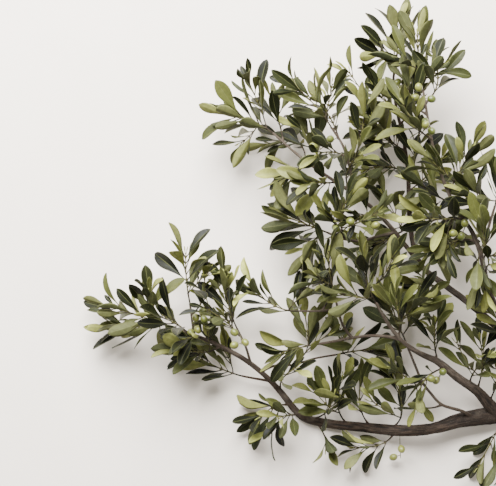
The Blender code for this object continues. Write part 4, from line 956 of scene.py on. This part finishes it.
def round_loops(points, radii, sides):
    """Round sections along points, with a cross direction carried along so that they don't twist."""
    points = np.array([floats(p) for p in points])
    ahead = np.gradient(points, axis=0)
    ahead /= np.linalg.norm(ahead, axis=1)[:, None]
    u = np.cross(ahead[0], ODD_AXIS)
    angles = 2 * np.pi * np.arange(sides) / sides
    loops = []
    for point, direction, radius in zip(points, ahead, radii):
        u = u - direction * u.dot(direction)
        u /= np.linalg.norm(u)
        v = np.cross(direction, u)
        loops.append(point + radius * (np.outer(np.cos(angles), u) + np.outer(np.sin(angles), v)))
    return np.array(loops)


def leaf_frame(leaf, shares):
    """Centres, sides and upper normals of a leaf at shares of its length."""
    angle = leaf.bend * shares
    along, normal = floats(leaf.along), floats(leaf.normal)
    sine, cosine = np.sin(angle), np.cos(angle)
    bow = np.outer(sine, along) + np.outer(1 - cosine, normal)
    centre = floats(leaf.root) + leaf.length / leaf.bend * bow
    ahead = np.outer(cosine, along) + np.outer(sine, normal)
    up = np.outer(cosine, normal) - np.outer(sine, along)
    side = np.cross(up, ahead)
    turn = (leaf.twist * shares)[:, None]
    return centre, side * np.cos(turn) + up * np.sin(turn), up * np.cos(turn) - side * np.sin(turn)


def leaf_halves(leaf, full, blunt, ease, reach, blade):
    """Half a leaf's width at each section, from its stalk to its tip."""
    fullness = np.sin(np.pi * np.clip(blade, 0, BLADE_END) ** full)
    outline = fullness ** (OUTLINE_POWER - blunt * smoothstep(*BLUNT_STRETCH, blade))
    width = leaf.width * reach * (1 - EASED_WIDTH * (1 - ease))
    least = LEAF_STALK_RADIUS * (1 - LEAF_TIP_TAPER * smoothstep(*LEAF_TAPER_STRETCH, blade))
    return np.maximum(width / 2 * outline, least)


def leaf_loops(leaf, form, ease, reach, stations):
    """Sections of a finished leaf, with how far each is along the blade and how much it is stalk.

    A round stalk widens into a thin blade, with a sunk midrib above and a raised one below, a rolled margin
    and a slight wave. Ease is how strongly it waves, rolls and cups, reach the share of its length and width
    that it keeps.
    """
    full, blunt, low_phase, high_phase, wave, roll, cup = form
    shares = 1 - (1 - np.linspace(0, 1, stations)) ** STATION_CROWDING
    shares[0] = LEAF_ROOT
    blade = np.clip((shares - LEAF_STALK) / (1 - LEAF_STALK), 0, 1)
    half = leaf_halves(leaf, full, blunt, ease, reach, blade)
    centre, side, up = leaf_frame(leaf, shares * reach)
    stalk = 1 - smoothstep(*STALK_STRETCH, blade)
    wave, roll, cup = leaf.width * wave * ease, leaf.width * roll * ease, cup * ease
    soft = leaf.width * MIDRIB_SOFTNESS
    columns = []
    for across_share, face in LEAF_COLUMNS:
        x = half * math.sin(cup * across_share) / cup
        lift = math.tan(leaf.fold) * (np.sqrt(x * x + soft * soft) - soft)
        lift += half * (1 - math.cos(cup * across_share)) / cup
        lift -= roll * max(abs(across_share) - ROLL_START, 0) ** 2
        phase = high_phase + blade * HIGH_WAVES if across_share > 0 else low_phase + blade * LOW_WAVES
        lift += wave * abs(across_share) ** 3 * np.sin(phase) * np.sin(np.pi * blade)
        thin = LEAF_THICKNESS / 2 * (1 - across_share ** 4)
        thick = LEAF_STALK_RADIUS * math.sqrt(1 - across_share ** 2)
        body = stalk * thick + (1 - stalk) * thin
        rib = np.exp(-(x / RIB_WIDTH) ** 2) * (1 - stalk) * (1 - RIB_FADE * blade)
        height = lift + body - rib * RIB_GROOVE if face > 0 else lift - body - rib * RIB_RIDGE
        if face == 0:
            height = lift
        columns.append(centre + side * x[:, None] + up * height[:, None])
    return np.array(columns).transpose(1, 0, 2), blade, stalk


def without_leaves(room):
    """What stands in the branch apart from its leaves, which the finished ones replace."""
    bare = Room()
    for low, high, tree, owner in zip(room.low, room.high, room.trees, room.owners):
        if not owner.endswith(" leaf"):
            bare.low.append(low)
            bare.high.append(high)
            bare.trees.append(tree)
            bare.owners.append(owner)
    return bare


def add_leaf(skin, leaf, rng, room, owner, stations=LEAF_STATIONS, pale=0.0, needed=False):
    """One finished leaf, formed as strongly as the room that the finished ones leave it allows.

    A leaf that finds no room is left out, unless the part has it as well.
    """
    form = [rng.uniform(*span) for span in LEAF_FORMS]
    tone = rng.random()
    for ease, reach in LEAF_EASES:
        loops, blade, stalk = leaf_loops(leaf, form, ease, reach, stations)
        body = Body().loft(loops[blade > BLADE_START])
        clear = room.clear(body, (owner,))
        if clear:
            break
    if not clear and not needed:
        return
    room.put(body, "blade")
    skin.add_loft(loops, across=[a for a, _ in LEAF_COLUMNS], face=[f for _, f in LEAF_COLUMNS],
                  along=blade[:, None], tone=tone, pale=pale, stem=stalk[:, None], size=leaf.width)


def swelling(shoot, shares, reach):
    """How much a stem swells at shares of its length: most at each pair of leaves, and over that reach."""
    return sum(np.exp(-((shares - mark) * shoot.length() / reach) ** 2) for mark in shoot.marks)


def add_young_wood(skin, loops, along, tone):
    """A stem or a bud, which have a leaf's look with nothing of its blade."""
    skin.add_loft(loops, stem=1.0, along=along, tone=tone, face=0.0, across=1.0, size=0.01)


def add_stem(skin, shoot, foot, tone):
    """A young stem with a swelling at each pair of leaves. Its foot reaches back into what carries it."""
    shares = np.linspace(0, 1, max(STEM_LEAST, round(shoot.length() / STEM_STEP)))
    shares = np.sort(np.concatenate([shares, [m + d for m in shoot.marks for d in STEM_NODE_SHARES]]))
    shares = shares[(shares >= 0) & (shares <= 1)]
    places = [shoot.at(t) for t in shares]
    points = [place[0] for place in places]
    radii = np.array([place[4] for place in places])
    radii = radii * (1.0 + STEM_SWELL * swelling(shoot, shares, STEM_SWELL_REACH))
    radii[-1] *= STEM_END
    start = points[0] - places[0][1] * foot
    radii = np.concatenate([[radii[0]], radii])
    young = np.concatenate([[0.0], shares])
    add_young_wood(skin, round_loops([start] + points, radii, STEM_SIDES), young[:, None], tone)


def add_bud(skin, point, direction, length, tone):
    """A small pointed bud."""
    points = [point + direction * (length * share) for share, _ in BUD_SECTIONS]
    radii = BUD_SIZE * MM / 2 * np.array([width for _, width in BUD_SECTIONS])
    add_young_wood(skin, round_loops(points, radii, BUD_SIDES), 1.0, tone)


def tip_leaf(shoot, k, rng):
    """One of the two unfolding leaves at the end of a shoot."""
    point, ahead, u, w, half = shoot.at(TIP_MARK)
    out = (u, -u)[k] if shoot.pairs % 2 == 0 else (w, -w)[k]
    lean = math.radians(rng.uniform(*TIP_LEANS))
    along = ahead * math.cos(lean) + out * math.sin(lean)
    normal = ahead * math.sin(lean) - out * math.cos(lean)
    length = rng.uniform(*TIP_LENGTHS) * MM
    return Leaf(point + out * half * 0.3, None, along, normal, length, length * TIP_WIDTH_SHARE,
                math.radians(rng.uniform(*TIP_BENDS)), math.radians(rng.uniform(*TIP_FOLDS)),
                math.radians(rng.gauss(0, TIP_TWIST_SPREAD)), POINTED_SECTIONS)


def add_shoot(skin, number, shoot, foot, leaves, rng, room):
    """A shoot's stem, the bud over each of its leaves and the two young leaves at its end."""
    tone = rng.random()
    add_stem(skin, shoot, foot, tone)
    for pair, side in shoot.seats():
        if (number, pair, side) in leaves:
            point, ahead, _, _, half = shoot.at(shoot.marks[pair])
            out = shoot.outward(pair, side)
            bud = point + out * half * 0.8 + ahead * BUD_SIZE * MM
            add_bud(skin, bud, (ahead + out * 0.5).normalized(), rng.uniform(*BUD_LENGTHS) * MM, tone)
    for k in range(2):
        tip = tip_leaf(shoot, k, rng)
        if tip.tip().z > FLOOR_CLEARANCE:
            add_leaf(skin, tip, rng, room, shoot.name, TIP_STATIONS, TIP_PALE)


def dress_spray(name, shoots, leaves, fillers, look, room):
    """The finished shoot that stands for a spray's node, or a twig of the scene's own."""
    rng = random.Random(f"looks {name}")
    skin = Skin("across", "along", "face", "tone", "pale", "stem", "size")
    for number, (shoot, seat) in enumerate(shoots):
        foot = STEM_FOOT if seat is None else shoots[0][0].radius
        add_shoot(skin, number, shoot, foot, leaves, rng, room)
    for (number, pair, _), leaf in leaves.items():
        shoot = shoots[number][0]
        young = (pair + 1) / shoot.pairs
        pale = max(0.0, rng.gauss(*LEAF_PALE) + (LAST_PAIR_PALE if young == 1 else 0.0))
        add_leaf(skin, leaf, rng, room, shoot.name, pale=min(pale, 1.0), needed=name in SPRAYS)
    for leaf, mark, owner in fillers:
        pale = max(0.0, rng.gauss(*FILLER_PALE) + FILLER_END_PALE * mark)
        add_leaf(skin, leaf, rng, room, owner, FILLER_STATIONS, min(pale, 1.0))
    if name in SPRAYS:
        return finished(skin.object("shoot_" + name, look), "spray_" + name)
    made = skin.object("twig_" + name, look)
    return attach(made, "root")


def fruit_loops(fruit, rng):
    """Round sections of an olive: a shallow hollow at the stalk, a full middle and a small nib."""
    turn = np.linspace(0, np.pi, FRUIT_STATIONS)
    width, length = OLIVE_WIDTH / 2 * rng.uniform(0.93, 1.0), OLIVE_LENGTH * rng.uniform(0.96, 1.0)
    radii = np.maximum(width * np.sin(turn) ** 0.94, 0.25 * MM)
    depth = length / 2 * (1 - np.cos(turn))
    for height, reach, there in ((0.7, 1.5, turn < 1.5), (0.35, 0.7, turn > 1.5)):
        depth += np.where(there, height * MM * np.exp(-(radii / (reach * MM)) ** 2), 0.0)
    return round_loops([fruit.top + fruit.axis * d for d in depth], radii, FRUIT_SIDES)


def fruit_stalk(point, out, half, fruit):
    """Round sections of the thin stalk from a cluster's stalk into the top of an olive, where it widens."""
    inside = fruit.top + fruit.axis * MM
    bends = [point, point + out * half * 1.5, point.lerp(fruit.top, 0.7), fruit.top, inside]
    path = smooth_path([(p, FRUIT_STALK_RADIUS) for p in bends], 0.8 * MM)
    radii = [r * (0.9 + 1.2 * max(0.0, k / (len(path) - 1) - 0.75)) for k, (_, r) in enumerate(path)]
    return round_loops([p for p, _ in path], radii, FRUIT_STALK_SIDES)


def dress_cluster(number, stalk, fruits, look):
    """The finished cluster that stands for an olive node: smooth fruit on thin stalks."""
    rng = random.Random(f"looks olives {number}")
    skin = Skin("along", "tone", "stem")
    shares = np.linspace(0, 1, CLUSTER_STATIONS)
    places = [stalk.at(t) for t in shares]
    points = [places[0][0] - places[0][1] * FRUIT_FOOT] + [place[0] for place in places]
    radii = FRUIT_STALK_RADIUS * (1 + CLUSTER_SWELL * swelling(stalk, shares, CLUSTER_SWELL_REACH))
    radii[-1] *= CLUSTER_END
    radii = np.concatenate([[radii[0] * CLUSTER_FOOT], radii])
    skin.add_loft(round_loops(points, radii, FRUIT_STALK_SIDES), stem=1.0, tone=0.5)
    for (pair, side), fruit in fruits.items():
        point, _, _, _, half = stalk.at(stalk.marks[pair])
        skin.add_loft(fruit_stalk(point, stalk.outward(pair, side), half, fruit), stem=1.0, tone=0.5)
        loops = fruit_loops(fruit, rng)
        skin.add_loft(loops, along=np.linspace(0, 1, FRUIT_STATIONS)[:, None], tone=rng.random(), stem=0.0)
    return finished(skin.object(f"fruit_{number + 1:02d}", look), f"olives_{number + 1:02d}")


def flared(rows):
    """A limb's fine path, thicker where it leaves the limb that carries it."""
    out, run = [], 0.0
    for k, (point, radius) in enumerate(rows):
        run += (point - rows[k - 1][0]).length if k else 0.0
        out.append((point, radius * (1 + FLARE * math.exp(-run / (FLARE_REACH * rows[0][1])))))
    return out


def wood_object(paths):
    """All limbs and heels in one closed skin with soft forks."""
    skin = Skin()
    for path in paths:
        skin.add_loft(round_loops([p for p, _ in path], [r for _, r in path], WOOD_SIDES))
    made = skin.object("branch_wood")
    remesh = made.modifiers.new("remesh", "REMESH")
    remesh.mode, remesh.voxel_size = "VOXEL", WOOD_VOXEL
    smooth = made.modifiers.new("smooth", "SMOOTH")
    smooth.factor, smooth.iterations = 0.5, 3
    mesh = bpy.data.meshes.new_from_object(made.evaluated_get(bpy.context.evaluated_depsgraph_get()))
    made.modifiers.clear()
    made.data = mesh
    return made


def axis_rows(paths):
    """A row for each stretch of each limb: its start, its direction, its radius and the run up to it."""
    rows = []
    for number, path in enumerate(paths):
        run = number * RUN_SHIFT
        for (a, radius), (b, _) in zip(path, path[1:]):
            rows.append((*a, *(b - a).normalized(), radius, run))
            run += (b - a).length
    return np.array(rows)


def nearest_axis(points, paths):
    """For each point: the run along the limb whose surface is nearest, the angle round it and its radius."""
    rows = axis_rows(paths)
    centres, ahead, radii, runs = rows[:, :3], rows[:, 3:6], rows[:, 6], rows[:, 7]
    u = np.cross(ahead, ODD_AXIS)
    u /= np.linalg.norm(u, axis=1)[:, None]
    v = np.cross(ahead, u)
    out = []
    for part in np.array_split(points, max(1, len(points) // POINTS_AT_ONCE)):
        apart = (part ** 2).sum(1)[:, None] - 2 * part @ centres.T + (centres ** 2).sum(1)[None]
        best = (np.sqrt(np.maximum(apart, 0)) - radii[None]).argmin(1)
        offset = part - centres[best]
        along = (offset * ahead[best]).sum(1)
        angle = np.arctan2((offset * v[best]).sum(1), (offset * u[best]).sum(1))
        out.append(np.column_stack([runs[best] + along, angle, radii[best]]))
    return np.concatenate(out)


def bark_relief(run, angle, radius):
    """Height of the bark over the wood: long broken ridges, and low swellings."""
    place = Vector((math.cos(angle) * radius * BARK_ROUND, math.sin(angle) * radius * BARK_ROUND,
                    run * BARK_ALONG))
    ridge = 1 - abs(noise.noise(place))
    fine = noise.noise(place * 2.7)
    swell = noise.noise(Vector((run * 17, math.cos(angle) * 0.7, math.sin(angle) * 0.7)))
    rough = min(1.0, max(0.0, (radius - SMOOTH_RADIUS) / ROUGH_REACH))
    relief = RIDGE_HEIGHT * (ridge ** 3 - 0.55) + FINE_HEIGHT * fine
    return rough * relief + radius * SWELL_SHARE * swell


def vertex_rows(mesh, name):
    rows = np.empty(len(mesh.vertices) * 3)
    mesh.vertices.foreach_get(name, rows)
    return rows.reshape(-1, 3)


def eased(mesh, values, times):
    """Values at the vertices, each drawn towards its neighbours' mean."""
    edges = np.empty(len(mesh.edges) * 2, dtype=int)
    mesh.edges.foreach_get("vertices", edges)
    a, b = edges.reshape(-1, 2).T
    count = np.bincount(a, minlength=len(values)) + np.bincount(b, minlength=len(values))
    for _ in range(times):
        total = np.bincount(a, values[b], len(values)) + np.bincount(b, values[a], len(values))
        values = 0.5 * values + 0.5 * total / count
    return values


def dress_wood(sprays, look):
    """The bark, with its ridges in the mesh, from the same limbs and heels as the solid."""
    trunk, *limbs = [limb_path(name, WOOD_STEP) for name in LIMBS]
    heels = [smooth_path(heel, WOOD_STEP) for heel, _, _ in sprays.values() if heel is not None]
    paths = [trunk] + [flared(path) for path in limbs + heels]
    made = wood_object(paths)
    mesh = made.data
    points, normals = vertex_rows(mesh, "co"), vertex_rows(mesh, "normal")
    run, angle, radius = nearest_axis(points, paths).T
    butt, ahead = floats(trunk[0][0]), floats((trunk[1][0] - trunk[0][0]).normalized())
    cut = smoothstep(0.6 * MM, 0.2 * MM, (points - butt) @ ahead)
    height = np.array([bark_relief(*row) for row in zip(run, angle, radius)]) * (1 - cut)
    height = eased(mesh, height, 1)
    points += normals * height[:, None]
    points[:, 2] = np.maximum(points[:, 2], 0.0)
    mesh.vertices.foreach_set("co", points.reshape(-1))
    values = {"run": run, "round": angle, "radius": eased(mesh, radius, 6), "relief": height / MM, "cut": cut}
    for name, value in values.items():
        mesh.attributes.new(name, "FLOAT", "POINT").data.foreach_set("value", value)
    mesh.shade_smooth()
    mesh.materials.clear()
    mesh.materials.append(look)
    mesh.update()
    return finished(made, "wood")


class Look:
    """A node material, with short calls for the nodes used here."""

    def __init__(self, name, roughness, specular):
        self.material = bpy.data.materials.new(name)
        self.material.use_nodes = True
        self.tree = self.material.node_tree
        self.shader = self.tree.nodes["Principled BSDF"]
        self.shader.inputs["Roughness"].default_value = roughness
        self.shader.inputs["Specular IOR Level"].default_value = specular

    def put(self, source, socket):
        if hasattr(source, "is_output"):
            self.tree.links.new(source, socket)
        else:
            socket.default_value = source

    def node(self, kind, inputs=(), **settings):
        """A node with those settings, and with a value or a link in each named or numbered input."""
        made = self.tree.nodes.new(kind)
        for name, value in settings.items():
            setattr(made, name, value)
        for key, source in dict(inputs).items():
            self.put(source, made.inputs[key])
        return made

    def value(self, name):
        """A value kept at the mesh's vertices."""
        return self.node("ShaderNodeAttribute", attribute_name=name).outputs["Fac"]

    def place(self):
        return self.node("ShaderNodeTexCoord").outputs["Object"]

    def math(self, operation, a, b=0.0, clamp=False):
        return self.node("ShaderNodeMath", {0: a, 1: b}, operation=operation, use_clamp=clamp).outputs[0]

    def times(self, a, b, clamp=False):
        return self.math("MULTIPLY", a, b, clamp)

    def plus(self, a, b):
        return self.math("ADD", a, b)

    def minus(self, a, b):
        return self.math("SUBTRACT", a, b)

    def comb(self, value):
        """Even ridges: how far the fraction of a value is from a half."""
        return self.math("ABSOLUTE", self.minus(self.math("FRACT", value), 0.5))

    def ramp(self, value, low, high, to_low=0.0, to_high=1.0):
        """A soft step from one value at low to the other at high."""
        inputs = {"Value": value, "From Min": low, "From Max": high, "To Min": to_low, "To Max": to_high}
        return self.node("ShaderNodeMapRange", inputs, interpolation_type="SMOOTHSTEP").outputs[0]

    def rise(self, value, low, high, share):
        return self.ramp(value, low, high, 0.0, share)

    def fade(self, value, low, high):
        return self.ramp(value, low, high, 1.0, 0.0)

    def mix(self, share, a, b, blend="MIX"):
        first, second = ((*colour, 1.0) if isinstance(colour, tuple) else colour for colour in (a, b))
        inputs = {0: share, 6: first, 7: second}
        return self.node("ShaderNodeMix", inputs, data_type="RGBA", blend_type=blend).outputs[2]

    def vector(self, x, y, z):
        return self.node("ShaderNodeCombineXYZ", {0: x, 1: y, 2: z}).outputs[0]

    def noise(self, scale, detail=3.0, vector=None, roughness=0.55):
        inputs = {"Scale": scale, "Detail": detail, "Roughness": roughness, "Vector": vector or self.place()}
        return self.node("ShaderNodeTexNoise", inputs).outputs["Fac"]

    def bump(self, height, distance, strength):
        inputs = {"Strength": strength, "Distance": distance, "Height": height}
        return self.node("ShaderNodeBump", inputs).outputs[0]

    def finish(self, colour, normal, roughness=None):
        self.put(colour, self.shader.inputs["Base Color"])
        self.put(normal, self.shader.inputs["Normal"])
        if roughness is not None:
            self.put(roughness, self.shader.inputs["Roughness"])
        return self.material


def leaf_faces(look, side):
    """The two faces of a leaf: patches of green above, paler below, and both lighter on a young leaf, by its
    own paler green and by painted light shining through it, most towards the tip.
    """
    along, tone, pale = look.value("along"), look.value("tone"), look.value("pale")
    upper = look.mix(look.ramp(tone, 0.2, 0.85), LEAF_DARK, LEAF_MID)
    upper = look.mix(look.ramp(tone, 0.65, 1.05), upper, LEAF_FRESH)
    upper = look.mix(look.rise(look.noise(38.0, 2.0), 0.4, 0.8, 0.15), upper, LEAF_FRESH)
    # Painted light through the blade, brightest towards the tip, together with a young leaf's own paler green.
    lit = look.times(pale, look.ramp(along, 0.1, 0.9, 0.35, 0.95), clamp=True)
    upper = look.mix(lit, upper, LEAF_YOUNG_AND_LIT)
    under = look.mix(tone, LEAF_UNDER, LEAF_UNDER_WARM)
    # The underside takes the same painted light and young green.
    under = look.mix(look.times(pale, 0.6, clamp=True), under, LEAF_YOUNG_AND_LIT)
    return look.mix(side, under, upper)


def leaf_vein(look, across_share):
    """Veins that slant from the midrib to the margin, where they end."""
    slant = look.minus(look.times(look.value("along"), 15.0), look.times(across_share, 3.2))
    waver = look.plus(slant, look.times(look.noise(55.0, 2.0), 1.1))
    return look.times(look.fade(look.comb(waver), 0.0, 0.12), look.fade(across_share, 0.75, 0.98))


def leaf_look():
    """Dark olive green above, pale grey-green below, with a light midrib, slanting veins and a pale margin,
    partly the leaf's own rim and partly a painted highlight.
    """
    look = Look("olive_leaf", 0.5, 0.15)
    across_share = look.math("ABSOLUTE", look.value("across"))
    side = look.ramp(look.value("face"), -0.1, 0.25)
    mottle = look.noise(160.0, 4.0)
    vein = leaf_vein(look, across_share)
    rib = look.fade(look.times(across_share, look.value("size")), 0.0004, 0.0011)
    margin = look.ramp(across_share, 0.86, 1.0)
    colour = leaf_faces(look, side)
    # The margin line is partly the leaf's own pale rim and partly a painted highlight.
    lines = ((vein, 0.16, LEAF_VEIN), (rib, 0.6, LEAF_VEIN), (margin, 0.5, LEAF_MARGIN_HIGHLIGHT))
    for share, strength, tint in lines:
        colour = look.mix(look.times(share, strength), colour, tint)
    stem_colour = look.mix(look.ramp(look.value("along"), 0.0, 0.75), STEM_OLD, STEM_YOUNG)
    stem_colour = look.mix(look.rise(look.noise(420.0, 2.0), 0.5, 0.7, 0.35), stem_colour, STEM_OLD)
    colour = look.mix(look.ramp(look.value("stem"), 0.35, 0.95), colour, stem_colour)
    colour = look.mix(look.rise(mottle, 0.3, 0.75, 0.28), colour, LEAF_DARK, "MULTIPLY")
    relief = look.plus(look.times(vein, -0.5), look.times(mottle, 0.8))
    rough = look.plus(look.ramp(side, 0.0, 1.0, 0.66, 0.42), look.ramp(mottle, 0.3, 0.7, -0.05, 0.08))
    return look.finish(colour, look.bump(relief, 0.0003, 0.6), rough)


def cut_face(look, place):
    """How much a spot is on the sawn end, and the wood there: rings round a dark heart."""
    sideways = look.minus(place.outputs[1], BUTT_CENTRE[0])
    above = look.minus(place.outputs[2], BUTT_CENTRE[1])
    pith = look.math("SQRT", look.plus(look.times(sideways, sideways), look.times(above, above)))
    waver = look.plus(pith, look.times(look.noise(120.0, 2.0), CUT_RING_WAVER))
    year = look.ramp(look.comb(look.times(waver, CUT_RINGS)), 0.0, 0.5)
    wood = look.mix(year, CUT_LATE, CUT_EARLY)
    wood = look.mix(look.ramp(pith, 0.0055, 0.0035), wood, CUT_HEART)
    return look.times(look.ramp(look.value("cut"), 0.4, 0.8), look.ramp(pith, 0.0132, 0.0126)), wood


def bark_look():
    """Grey-brown bark: dark in its furrows by its own colour and by painted shade, lighter on its ridges,
    browner on the twigs, painted shade darkening the thick trunk, painted light making the higher limbs greyer
    and lighter, and a pale cut.
    """
    look = Look("olive_bark", 0.85, 0.25)
    run, around, radius = look.value("run"), look.value("round"), look.value("radius")
    wide = look.times(radius, 330.0)
    cosine, sine = (look.times(look.math(name, around), wide) for name in ("COSINE", "SINE"))
    grain = look.vector(cosine, sine, look.times(run, 60.0))
    streak = look.noise(1.4, 5.0, grain, 0.65)
    fibre = look.noise(5.0, 3.0, grain)
    # Dark in the furrows: partly the bark's own colour, partly painted shade in the recesses.
    colour = look.mix(look.ramp(look.value("relief"), -0.5, 0.35), BARK_FURROW_SHADE, BARK_RIDGE)
    colour = look.mix(look.rise(streak, 0.42, 0.62, 0.7), colour, BARK_STREAK_AND_SHADE)
    colour = look.mix(look.rise(look.noise(26.0, 3.0), 0.55, 0.75, 0.55), colour, BARK_GREY)
    # Painted shade: the thick trunk is darker, as if it lay in shadow.
    colour = look.mix(look.rise(radius, 0.0075, 0.0125, 0.55), colour, BARK_STREAK_AND_SHADE)
    colour = look.mix(look.times(look.ramp(radius, 0.0045, 0.0022), 0.7), colour, TWIG)
    colour = look.mix(look.times(look.ramp(look.noise(900.0, 1.0), 0.66, 0.72), 0.5), colour, BARK_GREY)
    place = look.node("ShaderNodeSeparateXYZ", {0: look.place()})
    # Painted light: the higher limbs are greyer and lighter in streaks, as if lit from above.
    painted_light_high = look.ramp(streak, 0.3, 0.55, 0.6, 0.15)
    colour = look.mix(look.times(look.ramp(place.outputs[2], 0.03, 0.07), painted_light_high), colour, BARK_GREY)
    share, wood = cut_face(look, place)
    colour = look.mix(share, colour, wood)
    return look.finish(colour, look.bump(look.plus(streak, look.times(fibre, 0.5)), 0.0006, 0.8))


def olive_look():
    """Light green skin with fine pale dots and a soft sheen, on thin green-brown stalks."""
    look = Look("olive_skin", 0.33, 0.5)
    colour = look.mix(look.value("tone"), OLIVE_GREEN, OLIVE_YELLOW)
    colour = look.mix(look.rise(look.value("along"), 0.25, 0.0, 0.35), colour, OLIVE_SHADE)
    colour = look.mix(look.rise(look.noise(70.0, 2.0), 0.45, 0.8, 0.4), colour, OLIVE_SHADE)
    dots = look.node("ShaderNodeTexVoronoi", {"Scale": 900.0, "Vector": look.place()}, feature="F1")
    dot = look.fade(dots.outputs["Distance"], 0.1, 0.24)
    colour = look.mix(look.times(dot, 0.5), colour, OLIVE_DOT)
    stem = look.value("stem")
    stalk = look.mix(look.ramp(look.noise(300.0, 2.0), 0.4, 0.65), STEM_YOUNG, STEM_OLD)
    relief = look.plus(look.times(dot, 0.4), look.noise(240.0, 3.0))
    rough = look.ramp(stem, 0.0, 1.0, 0.33, 0.7)
    return look.finish(look.mix(stem, colour, stalk), look.bump(relief, 0.0002, 0.35), rough)


def floor_look():
    look = Look("pale_floor", 0.9, 0.2)
    colour = look.mix(look.ramp(look.noise(9.0, 3.0), 0.3, 0.7), FLOOR_COLOUR, FLOOR_SHADE)
    return look.finish(colour, look.bump(look.noise(140.0, 4.0), 0.0006, 0.25))


def add_floor():
    mesh = bpy.data.meshes.new("floor")
    x, y = PHOTO_CENTRE
    corners = [(x + FLOOR_HALF * a, y + FLOOR_HALF * b, FLOOR_LEVEL) for a, b in SQUARE]
    mesh.from_pydata(corners, [], [(0, 1, 2, 3)])
    mesh.materials.append(floor_look())
    placed("floor", mesh)


def add_camera():
    """A long lens straight above the branch, framed as the photograph is."""
    data = bpy.data.cameras.new("camera")
    data.sensor_fit, data.sensor_width = "HORIZONTAL", SENSOR_WIDTH
    data.lens = SENSOR_WIDTH * CAMERA_HEIGHT / (PHOTO_PIXELS[0] * PIXEL)
    data.clip_start, data.clip_end = 0.1, 20.0
    camera = placed("camera", data)
    camera.location = (*PHOTO_CENTRE, CAMERA_HEIGHT)
    bpy.context.scene.camera = camera


def add_light(name, place, size, power):
    data = bpy.data.lights.new(name, "AREA")
    data.shape, data.size, data.energy = "DISK", size, power
    light = placed(name, data)
    light.location = place
    aim = Vector((*PHOTO_CENTRE, 0.1)) - Vector(place)
    light.rotation_euler = aim.to_track_quat("-Z", "Y").to_euler()


def add_lights():
    world = bpy.data.worlds.new("studio")
    world.use_nodes = True
    background = world.node_tree.nodes["Background"]
    background.inputs["Color"].default_value = (*WORLD_COLOUR, 1.0)
    background.inputs["Strength"].default_value = WORLD_STRENGTH
    bpy.context.scene.world = world
    x, y = PHOTO_CENTRE
    for name, (dx, dy, z), size, power in LIGHTS:
        add_light(name, (x + dx, y + dy, z), size, power)


def main():
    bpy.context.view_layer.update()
    add_camera()
    sprays, clusters, fillers, grown = plan_branch()
    dress_wood(sprays, bark_look())
    leaf, olive = leaf_look(), olive_look()
    room = without_leaves(grown)
    for name, (_, shoots, leaves) in sprays.items():
        dress_spray(name, shoots, leaves, fillers[name], leaf, room)
    for number, (stalk, fruits) in enumerate(clusters):
        dress_cluster(number, stalk, fruits, olive)
    add_floor()
    add_lights()
    bpy.context.view_layer.update()


main()
